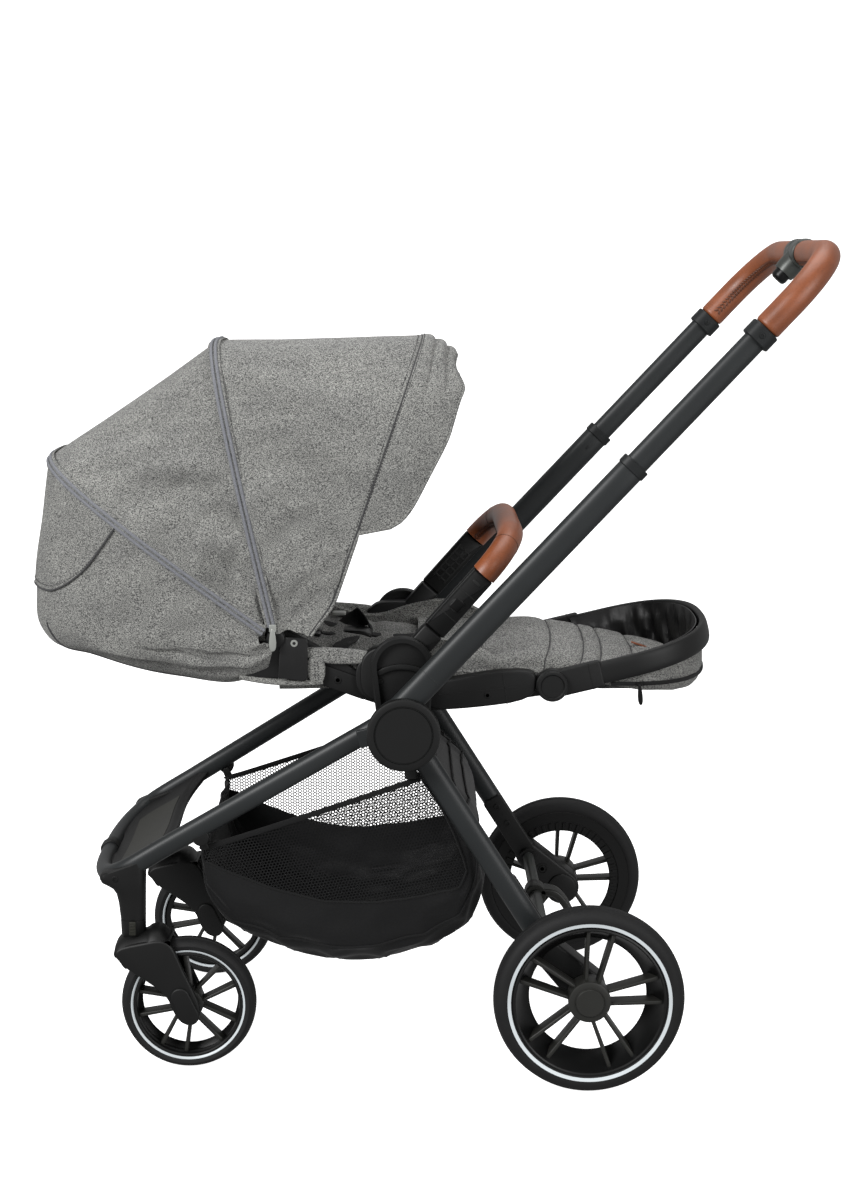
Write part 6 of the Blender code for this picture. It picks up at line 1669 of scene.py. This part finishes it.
class PushchairSizes(bpy.types.PropertyGroup):
    """Sizes that a user would change."""

    cloth: FloatProperty(name="Cloth thickness", description="Thickness of the canopy and basket cloth",
                         default=0.0018, unit="LENGTH")
    weave: FloatProperty(name="Weave pitch", description="Distance between threads of the heather cloth",
                         default=0.0008, unit="LENGTH")
    net_pitch: FloatProperty(name="Net pitch", description="Width of a mesh of the basket's net",
                             default=0.0044, unit="LENGTH")


class PushchairColours(bpy.types.PropertyGroup):
    """Colours that a user would change."""

    cloth_dark: FloatVectorProperty(name="Dark thread", description="Darker thread of the heather cloth",
                                    subtype="COLOR", default=(0.032, 0.032, 0.033))
    cloth_light: FloatVectorProperty(name="Light thread", description="Lighter thread of the heather cloth",
                                     subtype="COLOR", default=(0.275, 0.275, 0.265))
    tube: FloatVectorProperty(name="Tubes", description="Coated metal tubes",
                              subtype="COLOR", default=(0.015, 0.0168, 0.0176))
    plastic: FloatVectorProperty(name="Plastic", description="Black moulded plastic",
                                 subtype="COLOR", default=(0.002, 0.0021, 0.0021))
    # Only the bumper arms' raised lines take this colour, as painted edge highlights.
    grey: FloatVectorProperty(name="Grey plastic",
        description="Dark grey plastic of rims, pedal and foot plate",
                              subtype="COLOR", default=(0.0105, 0.011, 0.0107))
    leather: FloatVectorProperty(name="Leather", description="Leather of the grips",
                                 subtype="COLOR", default=(0.225, 0.064, 0.0215))
    piping: FloatVectorProperty(name="Piping", description="Zips and piping of the canopy",
                                subtype="COLOR", default=(0.15, 0.154, 0.168))
    ring: FloatVectorProperty(name="Rings", description="Bright rings on the tyres",
                              subtype="COLOR", default=(0.56, 0.6, 0.62))
    floor: FloatVectorProperty(name="Floor", description="Studio floor and backdrop",
                               subtype="COLOR", default=(0.93, 0.93, 0.93))


def operator(build, label):
    """An operator class that runs one build function and carries its docstring."""

    def execute(self, context):
        build()
        return {"FINISHED"}

    key = build.__name__.removeprefix("build_")
    return type("PUSHCHAIR_OT_" + key, (bpy.types.Operator,),
        {"bl_idname": "pushchair." + key, "bl_label": label, "__doc__": build.__doc__, "execute": execute})


STEPS = (
    operator(build_tubes, "Frame tubes"),
    operator(build_handle, "Handle"),
    operator(build_hubs, "Hubs"),
    operator(build_seat_frame, "Seat frame"),
    operator(build_bumper, "Bumper bar"),
    operator(build_legrest, "Leg rest"),
    operator(build_casters, "Casters"),
    operator(build_wheels, "Wheels"),
    operator(build_rear, "Rear end"),
    operator(build_canopy, "Canopy"),
    operator(build_seat_cloth, "Seat cloth"),
    operator(build_basket, "Basket"),
    operator(build_harness, "Harness"),
    operator(build_stage, "Studio"),
)


class PUSHCHAIR_PT_panel(bpy.types.Panel):
    """The sidebar panel: a button for each step, then the sizes and colours."""

    bl_label = "Pushchair"
    bl_space_type = "VIEW_3D"
    bl_region_type = "UI"
    bl_category = "Pushchair"

    def draw(self, context):
        for step in STEPS:
            self.layout.operator(step.bl_idname)
        for group in (context.scene.pushchair_sizes, context.scene.pushchair_colours):
            for key in group.__annotations__:
                self.layout.prop(group, key)


CLASSES = (PushchairSizes, PushchairColours) + STEPS + (PUSHCHAIR_PT_panel,)


def register():
    """Makes the classes known to Blender and hangs both groups on the scene."""
    for kind in CLASSES:
        bpy.utils.register_class(kind)
    bpy.types.Scene.pushchair_sizes = PointerProperty(type=PushchairSizes)
    bpy.types.Scene.pushchair_colours = PointerProperty(type=PushchairColours)


def unregister():
    """Takes back what register did, in the other order."""
    del bpy.types.Scene.pushchair_colours
    del bpy.types.Scene.pushchair_sizes
    for kind in reversed(CLASSES):
        bpy.utils.unregister_class(kind)


def main():
    """Runs every step in order and writes the CAD box and the visual box."""
    register()
    for step in STEPS:
        group, key = step.bl_idname.split(".")
        getattr(getattr(bpy.ops, group), key)()


if __name__ == "__main__":
    main()
